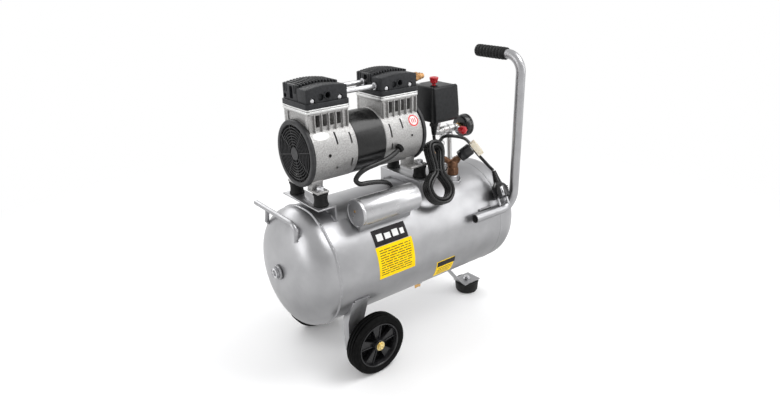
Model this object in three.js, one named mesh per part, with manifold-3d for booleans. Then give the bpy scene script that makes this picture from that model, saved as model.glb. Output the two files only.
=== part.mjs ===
// Portable oil-free air compressor: a twin-head motor on a horizontal 24 litre tank with wheels.
// Millimetres. X runs along the tank, -X is the wheel end and +X the pull-handle end, +Z is up, and
// the origin is on the floor under the middle of the machine.
import * as THREE from "three";
import { mergeVertices } from "three/addons/utils/BufferGeometryUtils.js";
import Module from "manifold-3d";

const wasm = await Module();
wasm.setup();

// ---- Driving dimensions -------------------------------------------------------------------------
const GAP = 0.3; // clearance kept between neighbouring solids

const TANK_RADIUS = 120;
const TANK_WALL = 2.5;
const TANK_Z = 222; // height of the tank's axis
const TANK_FRONT = -222; // where the front dome starts
const TANK_REAR = 232;
const DOME_HEIGHT = 56;
const SEAM_XS = [-222, 210]; // the two circular welds

const WHEEL_RADIUS = 64;
const WHEEL_WIDTH = 28;
const WHEEL_X = -138;
const WHEEL_Y = 113; // middle of the tyre
const RIM_RADIUS = 47;
const RIM_WALL = 5;
const RIM_SPOKES = 5;
const WEB_THICKNESS = 3; // the disc that closes the rim on its inner side
const HUB_RADIUS = 12;
const HUB_LENGTH = 30;
const AXLE_RADIUS = 5;

const FOOT_X = 235;
const FOOT_HEIGHT = 26.5;
const FOOT_RADIUS = 29.5; // of its rubber, at the top
const FOOT_PLATE = [25.5, 21]; // half of the plate over the rubber

const MOTOR_X = -91.5; // middle of the motor
const MOTOR_Z = 450; // height of the shaft
const HOUSING_RADIUS = 60;
const STATOR_HALF = 33;
const HOUSING_LENGTH = 93;
const GRILLE_DEPTH = 8;
const GRILLE_RADIUS = 63;
const SHAFT_RADIUS = 8;
const RUNNING = 0.12; // radial clearance of a turning fit
const CRANK_OFFSET = 8; // half the piston stroke
const FAN_BLADES = 6;

const HEAD_OFFSET = 82.5; // each cylinder's distance from the middle of the motor
const HEAD_LENGTH = 93;
const HEAD_WIDTH = 88;
const NECK_TOP = 528;
const PLATE_THICKNESS = 7.8;
const HEAD_BASE = NECK_TOP + GAP + PLATE_THICKNESS + GAP;
const BORE_RADIUS = 27;

const BRACKET_Z = 356; // top of the two motor brackets
const BRACKET_HALF_WIDTH = 64;
const BRACKET_LENGTH = 40;
const SHEET = 3;
const MOUNT_RADIUS = 14.5;
const MOUNT_HEIGHT = 24;
const MOUNT_Y = 43;
const MOUNT_XS = [-202, 40];

const HANDLE_RADIUS = 10;
const HANDLE_Y = -124.5; // the pull handle lies against the near side of the tank
const HANDLE_X = 245;
const HANDLE_LOW = 263;
const HANDLE_TOP = 590;

const SWITCH = { x0: 95, x1: 162, y0: -27, y1: 45, z0: 454, z1: 531 };
const RISER_X = 168;
const MANIFOLD_Z = 428;
const MANIFOLD_RADIUS = 8.5;
const GAUGE_X = 197; // back of the gauge's case
const GAUGE_RADIUS = 25;
const TAP_X = 176; // the outlet tap points to -Y
const RELIEF_X = 144; // the safety valve hangs under the manifold

const CORD_RADIUS = 3.5; // mains lead
const MOTOR_LEAD_RADIUS = 5;
const HANK_THICKNESS = 21; // three turns of lead on each other
const HANK_TOP = [76, -46, 428];
const HANK_BOTTOM = [38, -110, 313];
const PLUG_CENTRE = [211, -115, 301];
const PLUG_RADIUS = 18;

// ---- Shape helpers ------------------------------------------------------------------------------
const X = new THREE.Vector3(1, 0, 0);
const Y = new THREE.Vector3(0, 1, 0);
const Z = new THREE.Vector3(0, 0, 1);
const v3 = (x, y, z) => new THREE.Vector3(x, y, z);

function solid(geometry) {
  const plain = geometry.clone();
  for (const name of ["normal", "uv"]) plain.deleteAttribute(name);
  const merged = mergeVertices(plain, 1e-4);
  return new wasm.Manifold(
    new wasm.Mesh({
      numProp: 3,
      vertProperties: new Float32Array(merged.attributes.position.array),
      triVerts: new Uint32Array(merged.index.array),
    }),
  );
}

function geometryOf(body) {
  const mesh = body.getMesh();
  const geometry = new THREE.BufferGeometry();
  geometry.setAttribute("position", new THREE.BufferAttribute(mesh.vertProperties, 3));
  geometry.setIndex(new THREE.BufferAttribute(mesh.triVerts, 1));
  return geometry;
}

function joined(...geometries) {
  return geometryOf(geometries.map(solid).reduce((a, b) => a.add(b)));
}

function cut(geometry, ...tools) {
  return geometryOf(tools.map(solid).reduce((body, tool) => body.subtract(tool), solid(geometry)));
}

// A box from its lowest corner to its highest corner.
function box(x0, x1, y0, y1, z0, z1) {
  const geometry = new THREE.BoxGeometry(x1 - x0, y1 - y0, z1 - z0);
  return geometry.translate((x0 + x1) / 2, (y0 + y1) / 2, (z0 + z1) / 2);
}

// A cylinder or cone between two points.
function rod(from, to, radius, segments = 16, endRadius = radius) {
  const along = to.clone().sub(from);
  const geometry = new THREE.CylinderGeometry(endRadius, radius, along.length(), segments);
  const turn = new THREE.Quaternion().setFromUnitVectors(Y, along.clone().normalize());
  return geometry.applyQuaternion(turn).translate(...from.clone().add(to).multiplyScalar(0.5));
}

// A ring with a square section between two points.
function ring(from, to, outer, inner, segments = 24) {
  const along = to.clone().sub(from).normalize();
  const bore = rod(from.clone().sub(along), to.clone().add(along), inner, segments);
  return cut(rod(from, to, outer, segments), bore);
}

// A profile of [distance along the axis, radius] points turned about a line along X or Y.
function turned(profile, axis, centre, segments) {
  const points = profile.map(([along, radius]) => new THREE.Vector2(radius, along));
  const geometry = new THREE.LatheGeometry(points, segments);
  const turn = new THREE.Quaternion().setFromUnitVectors(Y, axis);
  return geometry.applyQuaternion(turn).translate(...centre);
}

// A flat outline extruded between two values of the third axis. The outline's points are [y, z] for
// "x", [x, z] for "y" and [x, y] for "z".
function slab(axis, outline, low, high) {
  const shape = new THREE.Shape(outline.map(([a, b]) => new THREE.Vector2(a, b)));
  const geometry = new THREE.ExtrudeGeometry(shape, { depth: high - low, bevelEnabled: false });
  geometry.translate(0, 0, low);
  if (axis === "x") geometry.applyMatrix4(new THREE.Matrix4().makeBasis(Y, Z, X));
  if (axis === "y") {
    geometry.applyMatrix4(new THREE.Matrix4().makeBasis(X, Z, Y.clone().negate()));
    geometry.translate(0, low + high, 0);
  }
  return geometry;
}

// A round bar along a smooth path with rounded corners at its inner points.
function bentPath(points, bend) {
  const path = new THREE.CurvePath();
  let start = points[0];
  for (let i = 1; i < points.length - 1; i++) {
    const corner = points[i];
    const before = start.clone().sub(corner);
    const after = points[i + 1].clone().sub(corner);
    const reach = Math.min(bend, before.length() * 0.9, after.length() * 0.49);
    const enter = corner.clone().add(before.normalize().multiplyScalar(reach));
    const leave = corner.clone().add(after.normalize().multiplyScalar(reach));
    path.add(new THREE.LineCurve3(start, enter));
    path.add(new THREE.QuadraticBezierCurve3(enter, corner, leave));
    start = leave;
  }
  path.add(new THREE.LineCurve3(start, points.at(-1)));
  return path;
}

function tubeAlong(path, radius, sides, steps) {
  const outline = [];
  for (let i = 0; i < sides; i++) {
    const angle = (2 * Math.PI * i) / sides;
    outline.push(new THREE.Vector2(radius * Math.cos(angle), radius * Math.sin(angle)));
  }
  return new THREE.ExtrudeGeometry(new THREE.Shape(outline), { steps, extrudePath: path });
}

const sorted = (a, b) => [Math.min(a, b), Math.max(a, b)];

// Points of an arc about a centre, from one angle to another, in radians.
function arc(cx, cy, radius, from, to, steps) {
  return Array.from({ length: steps + 1 }, (_, i) => {
    const angle = from + ((to - from) * i) / steps;
    return [cx + radius * Math.cos(angle), cy + radius * Math.sin(angle)];
  });
}

// ---- Materials ----------------------------------------------------------------------------------
const finish = (color, roughness, metalness) => () =>
  new THREE.MeshStandardMaterial({ color, roughness, metalness });
const silverPaint = finish(0xb4b4b6, 0.38, 0.55);
const castAluminium = finish(0xc6c5c3, 0.5, 0.6);
const blackPaint = finish(0x1d1d20, 0.55, 0.2);
const laminations = finish(0x0c0c0c, 0.35, 0.3);
const blackPlastic = finish(0x18181a, 0.45, 0);
const rubber = finish(0x121212, 0.75, 0);
const steel = finish(0xbfc0c2, 0.3, 0.9);
const brass = finish(0xb98b4a, 0.35, 0.9);
const bronze = finish(0x6b4a34, 0.4, 0.8);
const yellowZinc = finish(0xc9b25a, 0.3, 0.9);
const redPlastic = finish(0xc81e2a, 0.4, 0);
const nylon = finish(0xe6dfce, 0.4, 0);
const clearPlastic = finish(0xdfe6e8, 0.1, 0);

const compressor = new THREE.Group();
function group(x = 0, y = 0, z = 0) {
  const made = new THREE.Group();
  made.position.set(x, y, z);
  compressor.add(made);
  return made;
}
function put(parent, name, geometry, material) {
  const mesh = new THREE.Mesh(geometry, material());
  mesh.name = name;
  parent.add(mesh);
  return mesh;
}

// ---- Tank ---------------------------------------------------------------------------------------
// Half of a dished end as [x, radius] points, from its rim to its crown; towards is -1 or 1.
function dome(start, towards, radius, height, count) {
  const points = [];
  for (let i = 0; i <= count; i++) {
    const angle = (Math.PI / 2) * (i / count);
    const along = height * Math.sin(angle) ** 0.82;
    points.push([start + towards * along, i === count ? 0 : radius * Math.cos(angle) ** 0.82]);
  }
  return points;
}

function tankBody(radius, height, seams, steps, segments) {
  const front = dome(TANK_FRONT, -1, radius, height, steps).reverse();
  const rear = dome(TANK_REAR, 1, radius, height, steps);
  const beads = seams.flatMap((x) => [
    [x + 1, radius],
    [x + 4, radius + 1],
    [x + 7, radius],
  ]);
  return turned([...front, ...beads, ...rear], X, [0, 0, 0], segments);
}

const BUNG_RADIUS = 11;
const DRAIN = v3(71.5, 0, -TANK_RADIUS);
const DRAIN_BOSS = 24; // length of the drain's boss under the tank
const RISER_BOSS = v3(RISER_X, 0, TANK_RADIUS);
const VALVE_Y = -44; // the check valve stands on the near slope of the tank's top
const VALVE_BOSS = 118; // top of its boss above the tank's axis
const VALVE_X = 134;

function makeTank() {
  const tank = group(0, 0, TANK_Z);
  const shell = tankBody(TANK_RADIUS, DOME_HEIGHT, SEAM_XS, 6, 36);
  const hollow = tankBody(TANK_RADIUS - TANK_WALL - 1.5, DOME_HEIGHT - TANK_WALL - 1.5, [], 4, 18);
  const crown = TANK_FRONT - DOME_HEIGHT;
  const bungHole = rod(v3(crown - 5, 0, 4), v3(crown + 10, 0, 4), BUNG_RADIUS, 16);
  const drainBoss = rod(v3(DRAIN.x, 0, DRAIN.z - DRAIN_BOSS), v3(DRAIN.x, 0, DRAIN.z + 6), 8, 16);
  const drainEnd = DRAIN.z - DRAIN_BOSS;
  const drainHole = rod(v3(DRAIN.x, 0, drainEnd - 3), v3(DRAIN.x, 0, DRAIN.z + 12), 5.5, 12);
  const riserBoss = rod(v3(RISER_X, 0, RISER_BOSS.z - 6), v3(RISER_X, 0, RISER_BOSS.z + 8), 12, 16);
  const valveBoss = rod(v3(VALVE_X, VALVE_Y, 100), v3(VALVE_X, VALVE_Y, VALVE_BOSS), 15, 16);
  const walled = geometryOf(
    [shell, drainBoss, riserBoss, valveBoss].map(solid).reduce((a, b) => a.add(b)),
  );
  put(tank, "tank_shell", cut(walled, hollow, bungHole, drainHole), silverPaint);

  const bung = joined(
    ring(v3(crown - 11, 0, 4), v3(crown + 8, 0, 4), BUNG_RADIUS - GAP, 6, 16),
    rod(v3(crown - 5, 0, 4), v3(crown + 3, 0, 4), 8, 6),
  );
  put(tank, "front_bung", bung, steel);

  const stem = rod(v3(DRAIN.x, 0, drainEnd - 7), v3(DRAIN.x, 0, drainEnd + 16), 4.6, 12);
  const wings = box(DRAIN.x - 9, DRAIN.x + 9, -2, 2, drainEnd - 14, drainEnd - 4);
  const collar = rod(v3(DRAIN.x, 0, drainEnd - 6), v3(DRAIN.x, 0, drainEnd - 0.8), 7, 12);
  put(tank, "drain_screw", joined(stem, wings, collar), brass);
}
makeTank();

// ---- Carry handle on the front dome -------------------------------------------------------------
function makeCarryHandle() {
  const handle = group(-262, 0, TANK_Z);
  const bar = bentPath([v3(0, -47, 81), v3(0, -51, 111), v3(0, 104, 112)], 14);
  const strut = rod(v3(0, 58, 110), v3(4, 72, 80), 4.5, 10);
  const tank = tankBody(TANK_RADIUS + GAP, DOME_HEIGHT + GAP, [], 6, 36).translate(262, 0, 0);
  const shape = cut(joined(tubeAlong(bar, 5, 8, 14), strut), tank);
  put(handle, "carry_handle", shape, silverPaint);
}

// ---- Pull handle --------------------------------------------------------------------------------
function makePullHandle() {
  const handle = group(0, HANDLE_Y, 0);
  const bend = 34;
  const points = [
    v3(124, 0, HANDLE_LOW),
    v3(HANDLE_X, 0, HANDLE_LOW),
    v3(HANDLE_X, 0, HANDLE_TOP),
    v3(HANDLE_X, 110, HANDLE_TOP),
  ];
  const tube = tubeAlong(bentPath(points, bend), HANDLE_RADIUS, 12, 22);
  const mouth = rod(v3(120, 0, HANDLE_LOW), v3(160, 0, HANDLE_LOW), HANDLE_RADIUS - 1.6, 12);
  put(handle, "pull_handle", cut(tube, mouth), silverPaint);

  const profile = [];
  const ribs = 5;
  const start = 40;
  const end = 124;
  for (let i = 0; i < ribs; i++) {
    const at = start + ((end - start - 6) * i) / ribs;
    profile.push([at, 12], [at + 2, 13], [at + 7, 13], [at + 9, 12]);
  }
  const outline = [[start, HANDLE_RADIUS + GAP], ...profile, [end - 4, 13.4], [end, 9], [end, 0]];
  const closed = [...outline, [110 + GAP, 0], [110 + GAP, HANDLE_RADIUS + GAP], outline[0]];
  put(handle, "handle_grip", turned(closed, Y, [HANDLE_X, 0, HANDLE_TOP], 12), rubber);
}
makeCarryHandle();
makePullHandle();

// ---- Wheels, legs and foot ----------------------------------------------------------------------
// The inner side, away from the side the wheel stands on, is closed by a web behind the spokes.
function wheelRim(side) {
  const half = WHEEL_WIDTH / 2;
  const along = (y0, y1, radius, segments) => rod(v3(0, y0, 0), v3(0, y1, 0), radius, segments);
  const barrel = ring(v3(0, -half + 1, 0), v3(0, half - 1, 0), RIM_RADIUS, RIM_RADIUS - RIM_WALL, 24);
  const hub = along(-HUB_LENGTH / 2, HUB_LENGTH / 2, HUB_RADIUS, 14);
  const webFace = -side * (half - 5);
  const web = along(webFace, webFace + side * WEB_THICKNESS, RIM_RADIUS - RIM_WALL / 2, 24);
  const spokes = [];
  for (let i = 0; i < RIM_SPOKES; i++) {
    const reach = RIM_RADIUS - 3;
    const spoke = slab("y", [[0, -5], [reach, -11], [reach, 11], [0, 5]], -4, 4);
    spokes.push(spoke.rotateY((2 * Math.PI * i) / RIM_SPOKES + 0.2));
  }
  const bore = along(-WHEEL_WIDTH, WHEEL_WIDTH, AXLE_RADIUS + RUNNING, 24);
  return cut(joined(barrel, hub, web, ...spokes), bore);
}

function tyre() {
  const half = WHEEL_WIDTH / 2;
  const r = WHEEL_RADIUS;
  const inner = RIM_RADIUS + GAP;
  const profile = [
    [-half + 2, inner],
    [-half, inner + 3],
    [-half, r - 7],
    [-half + 3, r - 1.5],
    [-4, r],
    [4, r],
    [half - 3, r - 1.5],
    [half, r - 7],
    [half, inner + 3],
    [half - 2, inner],
    [-half + 2, inner],
  ];
  return turned(profile, Y, [0, 0, 0], 30);
}

const LEG_Y = 92; // outer face of each wheel leg
function wheelLeg(side) {
  const fold = [
    [side * 110.5, TANK_Z - 47],
    [side * LEG_Y, 118],
    [side * LEG_Y, 50],
    [side * (LEG_Y - SHEET), 50],
    [side * (LEG_Y - SHEET), 117.5],
    [side * 107, TANK_Z - 49.5],
  ];
  const outline = side < 0 ? fold : fold.reverse();
  const plate = slab("x", outline, -184, -120);
  const x0 = -187;
  const flangeOutline = [
    [side * LEG_Y, 50],
    [side * LEG_Y, 118],
    [side * 110.5, TANK_Z - 47],
    [side * 84, TANK_Z - 70],
    [side * 72, 112],
    [side * 78, 50],
  ];
  const flange = slab("x", side < 0 ? flangeOutline.reverse() : flangeOutline, x0, x0 + SHEET + 1);
  const hole = rod(v3(WHEEL_X, side * 70, WHEEL_RADIUS), v3(WHEEL_X, side * 130, WHEEL_RADIUS), 5.3, 12);
  const corner = slab("y", [[-148, 100], [-148, 190], [-110, 190], [-110, 80]], -130, 130);
  const tank = rod(v3(-300, 0, TANK_Z), v3(0, 0, TANK_Z), TANK_RADIUS + GAP, 96);
  return cut(joined(plate, flange), hole, corner, tank);
}

function makeWheels() {
  for (const [label, side] of [["near", -1], ["far", 1]]) {
    const wheel = group(WHEEL_X, side * WHEEL_Y, WHEEL_RADIUS);
    put(wheel, `wheel_rim_${label}`, wheelRim(side), blackPlastic);
    put(wheel, `tyre_${label}`, tyre(), rubber);
    const inner = -side * (WHEEL_Y - LEG_Y + SHEET + 9);
    const outer = side * (HUB_LENGTH / 2 + 0.5);
    const axle = joined(
      rod(v3(0, inner, 0), v3(0, outer + side * 2, 0), AXLE_RADIUS, 16),
      rod(v3(0, outer, 0), v3(0, outer + side * 5, 0), 10, 12),
      rod(v3(0, inner, 0), v3(0, inner + side * 8.5, 0), 9, 6),
    );
    put(wheel, `axle_bolt_${label}`, axle, yellowZinc);
    put(group(), `wheel_leg_${label}`, wheelLeg(side), silverPaint);
  }
}

function makeFoot() {
  const foot = group(FOOT_X, 0, 0);
  const top = FOOT_HEIGHT + SHEET;
  const [halfLength, halfWidth] = FOOT_PLATE;
  const strap = [
    [-halfLength, FOOT_HEIGHT + GAP],
    [0, FOOT_HEIGHT + GAP],
    [0, top + GAP],
    [-halfLength + 1, top + GAP],
    [-84, 101.5],
    [-124, 101.5],
    [-124, 98.5],
    [-86, 98.5],
  ];
  const plate = box(-halfLength, halfLength, -halfWidth, halfWidth, FOOT_HEIGHT + GAP, top + GAP);
  const hole = rod(v3(0, 0, 10), v3(0, 0, 50), 4.4, 12);
  put(foot, "foot_leg", cut(joined(slab("y", strap, -11, 11), plate), hole), silverPaint);
  const r = FOOT_RADIUS;
  const section = [[0, 0], [0, r - 4.5], [3, r - 2.5], [FOOT_HEIGHT, r], [FOOT_HEIGHT, 0]];
  const cup = turned(section, Z, [0, 0, 0], 24);
  const well = rod(v3(0, 0, 12), v3(0, 0, 40), 4.4, 12);
  put(foot, "foot_rubber", cut(cup, well), rubber);
  const bolt = joined(
    rod(v3(0, 0, 14), v3(0, 0, top + 9), 4, 12),
    rod(v3(0, 0, top + 2 * GAP), v3(0, 0, top + 6), 7, 6),
  );
  put(foot, "foot_bolt", bolt, steel);
}
makeWheels();
makeFoot();

// ---- Motor brackets and rubber mounts -----------------------------------------------------------
// A bracket's top is a plate, and its flange, on the side of the motor's middle, is cut to the tank.
function makeBrackets() {
  const tank = rod(v3(-300, 0, TANK_Z), v3(300, 0, TANK_Z), TANK_RADIUS + GAP, 96);
  for (const [label, x0, flangeX] of [
    ["front", MOUNT_XS[0] - 20, MOUNT_XS[0] + 20 - SHEET],
    ["rear", MOUNT_XS[1] - 20, MOUNT_XS[1] - 20],
  ]) {
    const w = BRACKET_HALF_WIDTH;
    const plate = box(x0, x0 + BRACKET_LENGTH, -w, w, BRACKET_Z - SHEET, BRACKET_Z);
    const flange = box(flangeX, flangeX + SHEET, -w, w, TANK_Z + 95, BRACKET_Z);
    const holes = [-1, 1].map((s) =>
      rod(v3(x0 + 20, s * MOUNT_Y, BRACKET_Z - 20), v3(x0 + 20, s * MOUNT_Y, BRACKET_Z + 20), 4.4, 12),
    );
    put(group(), `motor_bracket_${label}`, cut(joined(plate, flange), tank, ...holes), silverPaint);
    for (const [place, s] of [["near", -1], ["far", 1]]) {
      const mount = group(x0 + BRACKET_LENGTH / 2, s * MOUNT_Y, BRACKET_Z + GAP);
      const h = MOUNT_HEIGHT;
      const r = MOUNT_RADIUS;
      const waist = [[0, 0], [0, r], [h / 2, r - 1.5], [h, r], [h, 0]];
      const buffer = joined(turned(waist, Z, [0, 0, 0], 12), rod(v3(0, 0, -12), v3(0, 0, h + 13), 4, 8));
      put(mount, `rubber_mount_${label}_${place}`, buffer, rubber);
    }
  }
}
makeBrackets();

// ---- Motor --------------------------------------------------------------------------------------
// Everything on one end of the motor is drawn for the -X end about the motor's middle, and mirrored
// for the +X end by side = 1.
const BEARING_WALL = 53; // inner face of the web that carries the bearing
const END = STATOR_HALF + GAP + HOUSING_LENGTH;

function housing(side) {
  const at = (x) => side * x;
  const start = STATOR_HALF + GAP;
  const along = (x0, x1, radius, segments) => rod(v3(at(x0), 0, 0), v3(at(x1), 0, 0), radius, segments);
  const neckTop = NECK_TOP - MOTOR_Z;
  const halfNeck = HEAD_LENGTH / 2 - 4;
  const neck = box(at(HEAD_OFFSET) - halfNeck, at(HEAD_OFFSET) + halfNeck, -39, 39, 20, neckTop);

  const footX = MOUNT_XS[(side + 1) / 2] - MOTOR_X;
  const footFloor = BRACKET_Z + MOUNT_HEIGHT + 2 * GAP - MOTOR_Z;
  const legX = at(Math.min(END - 14, Math.abs(footX)));
  const [footLow, footHigh] = sorted(footX, legX);
  const feet = [-1, 1].flatMap((s) => [
    box(footLow - 13, footHigh + 13, ...sorted(s * 18, s * 54), footFloor, footFloor + 5),
    box(legX - 12, legX + 12, ...sorted(s * 18, s * 32), footFloor + 2, -46),
  ]);
  const bolts = [-1, 1].map((s) => rod(v3(footX, s * MOUNT_Y, -90), v3(footX, s * MOUNT_Y, -50), 4.4, 12));

  const windings = along(start - 5, BEARING_WALL, HOUSING_RADIUS - 5, 20);
  const fanRoom = along(BEARING_WALL + 8, END + 5, HOUSING_RADIUS - 5, 24);
  const bearing = along(BEARING_WALL - 5, BEARING_WALL + 12, SHAFT_RADIUS + RUNNING, 32);
  const cylinder = rod(v3(at(HEAD_OFFSET), 0, 20), v3(at(HEAD_OFFSET), 0, neckTop + 5), BORE_RADIUS, 24);
  const windows = [-1, 1].flatMap((s) =>
    [-1.5, -0.5, 0.5, 1.5].map((i) => {
      const x = at(HEAD_OFFSET) + i * 15;
      return box(x - 4.5, x + 4.5, ...sorted(s * 32, s * 50), 52, 72);
    }),
  );
  const slots = [54, 86].flatMap((x) =>
    [-1, 1].map((s) => {
      const slot = box(...sorted(at(x), at(x + 4)), ...sorted(s * 40, s * 70), 5, 29);
      return slot.rotateX(s * 0.12);
    }),
  );
  const body = joined(along(start, END, HOUSING_RADIUS, 36), neck, ...feet);
  return cut(body, windings, fanRoom, bearing, cylinder, ...windows, ...slots, ...bolts);
}

function grille(side) {
  const inner = side * (END + GAP);
  const outer = side * (END + GAP + GRILLE_DEPTH);
  const thin = side * (END + GAP + GRILLE_DEPTH - 3);
  const parts = [
    ring(v3(inner, 0, 0), v3(outer, 0, 0), GRILLE_RADIUS, 53, 30),
    ring(v3(thin, 0, 0), v3(outer, 0, 0), 41, 37, 16),
    ring(v3(thin, 0, 0), v3(outer, 0, 0), 27, 23, 12),
    rod(v3(thin, 0, 0), v3(outer, 0, 0), 12, 10),
  ];
  for (let i = 0; i < 3; i++) {
    const bar = box(...sorted(thin, outer), -55, 55, -1.5, 1.5);
    parts.push(bar.rotateX((Math.PI * i) / 3 + 0.35));
  }
  return joined(...parts);
}

function fan(side) {
  const x0 = side * 114;
  const x1 = side * 123;
  const bore = SHAFT_RADIUS + GAP;
  const parts = [
    ring(v3(side * 104, 0, 0), v3(x1, 0, 0), 14, bore, 14),
    ring(v3(x0, 0, 0), v3(x0 + side * 2, 0, 0), 49, bore, 20),
  ];
  for (let i = 0; i < FAN_BLADES; i++) {
    parts.push(box(...sorted(x0, x1), -1.2, 1.2, 12, 48).rotateX((2 * Math.PI * i) / FAN_BLADES));
  }
  return joined(...parts);
}

function rotor() {
  const half = END - 2;
  const parts = [
    rod(v3(-half, 0, 0), v3(half, 0, 0), SHAFT_RADIUS, 32),
    rod(v3(-STATOR_HALF + 2, 0, 0), v3(STATOR_HALF - 2, 0, 0), 33, 20),
  ];
  for (const side of [-1, 1]) {
    const from = v3(side * 63, 0, -side * CRANK_OFFSET);
    parts.push(rod(from, v3(side * 73, 0, -side * CRANK_OFFSET), 18, 16));
  }
  return joined(...parts);
}

// Piston and rod in one piece; the rod's big end hangs round the shaft beside the eccentric.
function piston(side) {
  const x = side * HEAD_OFFSET;
  return joined(
    rod(v3(x, 0, 60), v3(x, 0, 67), BORE_RADIUS - 0.4, 20),
    box(x - 5, x + 5, -7, 7, 22, 62),
    ring(v3(x - 5, 0, 0), v3(x + 5, 0, 0), 25, 19, 16),
  );
}

// The near third of a head is a plain wall with an arched top; behind it stands a row of fins.
function head(side) {
  const w = HEAD_WIDTH / 2;
  const l = HEAD_LENGTH / 2;
  const arched = (height) => {
    const ends = l - 3;
    const top = Array.from({ length: 7 }, (_, i) => ends - (2 * ends * i) / 6);
    return [[-ends, 2], [ends, 2], ...top.map((x) => [x, height + 5 * Math.cos((Math.PI / 2) * (x / l))])];
  };
  const nearWall = slab("y", arched(34), -w + 4, -w + 34);
  const crown = slab("y", arched(38), -w + 34, w - 4);
  const flange = box(-l, l, -w, w, 0, 10);
  const grooves = Array.from({ length: 12 }, (_, i) => {
    const x = -l + 10.4 + i * 6.6;
    return box(x - 1.7, x + 1.7, -w + 34, w + 5, 18, 60);
  });
  const ports = [-4, 14].map((x) => rod(v3(x, -w - 5, 21), v3(x, -w + 14, 21), 6, 12));
  const tubePorts = TRANSFER_TUBES.map(([y, z]) =>
    rod(v3(-side * 20, y, z - HEAD_BASE), v3(-side * 60, y, z - HEAD_BASE), 5.4, 12),
  );
  const outletZ = OUTLET_Z - HEAD_BASE;
  const outlet = side > 0 ? [rod(v3(20, OUTLET_Y, outletZ), v3(60, OUTLET_Y, outletZ), 7.3, 12)] : [];
  return cut(joined(flange, nearWall, crown), ...grooves, ...ports, ...tubePorts, ...outlet);
}

const TRANSFER_TUBES = [[-20, 553.5], [18, 556.5]];
const OUTLET_Y = -27;
const OUTLET_Z = 560;

function makeMotor() {
  const motor = group(MOTOR_X, 0, MOTOR_Z);
  for (const [label, side] of [["front", -1], ["rear", 1]]) {
    put(motor, `housing_${label}`, housing(side), castAluminium);
    put(motor, `fan_grille_${label}`, grille(side), blackPlastic);
    put(motor, `fan_${label}`, fan(side), blackPlastic);
    put(motor, `piston_${label}`, piston(side), castAluminium);
    const x = side * HEAD_OFFSET;
    const top = group(MOTOR_X + x, 0, NECK_TOP + GAP);
    const l = HEAD_LENGTH / 2;
    const w = HEAD_WIDTH / 2;
    const plate = box(-l, l, -w, w, 0, PLATE_THICKNESS);
    const holes = [-1, 1].map((s) => rod(v3(s * 12, 0, -5), v3(s * 12, 0, 15), 5, 12));
    put(top, `valve_plate_${label}`, cut(plate, ...holes), castAluminium);
    put(group(MOTOR_X + x, 0, HEAD_BASE), `cylinder_head_${label}`, head(side), blackPaint);
  }
  put(motor, "rotor_shaft", rotor(), steel);
  const stator = ring(v3(-STATOR_HALF, 0, 0), v3(STATOR_HALF, 0, 0), HOUSING_RADIUS - 0.5, 34, 32);
  put(motor, "stator", stator, laminations);
}

function makePipework() {
  const gap = HEAD_OFFSET - HEAD_LENGTH / 2 + 3;
  for (const [i, [y, z]] of TRANSFER_TUBES.entries()) {
    const reach = gap + 14;
    put(group(MOTOR_X), `transfer_tube_${i + 1}`, rod(v3(-reach, y, z), v3(reach, y, z), 5, 12), steel);
  }
  const headEnd = MOTOR_X + HEAD_OFFSET + HEAD_LENGTH / 2;
  const fitting = joined(
    rod(v3(headEnd - 12, OUTLET_Y, OUTLET_Z), v3(headEnd + 18, OUTLET_Y, OUTLET_Z), 7, 12),
    rod(v3(headEnd + GAP, OUTLET_Y, OUTLET_Z), v3(headEnd + 12, OUTLET_Y, OUTLET_Z), 9.5, 6),
  );
  const start = v3(headEnd + 18 + GAP, OUTLET_Y, OUTLET_Z);
  put(group(), "outlet_fitting", fitting, brass);
  // Behind the rear head, down past the motor's end and up to the check valve's inlet.
  const route = [
    start,
    v3(67, OUTLET_Y, OUTLET_Z),
    v3(68, 28, 540),
    v3(72, 30, 430),
    v3(88, 6, 395),
    v3(106.3, -22.3, 386.3),
  ];
  put(group(), "delivery_tube", tubeAlong(bentPath(route, 16), 4, 8, 22), steel);
}
makeMotor();
makePipework();

// ---- Check valve with its solenoid --------------------------------------------------------------
function makeCheckValve() {
  const valve = group(VALVE_X, VALVE_Y, TANK_Z + VALVE_BOSS + GAP);
  const middle = v3(0, 0, 24);
  const tubeEnd = v3(-26.5, 20.4, 43);
  const along = v3(0.62, -0.475, 0.62).normalize(); // of the coil, tilted away from the tube
  const coilFoot = v3(11.5, -8.7, 38);
  const body = joined(
    rod(v3(0, 0, 0), v3(0, 0, 24), 13.5, 6),
    rod(v3(0, 0, 22), v3(0, 0, 32), 10, 12),
    rod(middle, tubeEnd, 7, 12),
    rod(middle, coilFoot.clone().addScaledVector(along, -6), 9, 12),
    rod(coilFoot.clone().addScaledVector(along, -10), coilFoot, 7, 12),
  );
  put(valve, "check_valve", body, bronze);

  const holder = new THREE.Group();
  holder.position.copy(coilFoot).addScaledVector(along, GAP);
  const level = along.clone().cross(Z).normalize().negate();
  const turn = new THREE.Matrix4().makeBasis(level, along.clone().cross(level), along);
  holder.quaternion.setFromRotationMatrix(turn);
  valve.add(holder);
  const coil = joined(rod(v3(0, 0, 0), v3(0, 0, 31), 13, 20), rod(v3(0, 0, 30), v3(0, 0, 33), 5, 6));
  put(holder, "unloader_coil", coil, blackPlastic);
  put(holder, "coil_connector", box(-8, 8, -24, 10, 33 + GAP, 47), nylon);
}

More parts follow.
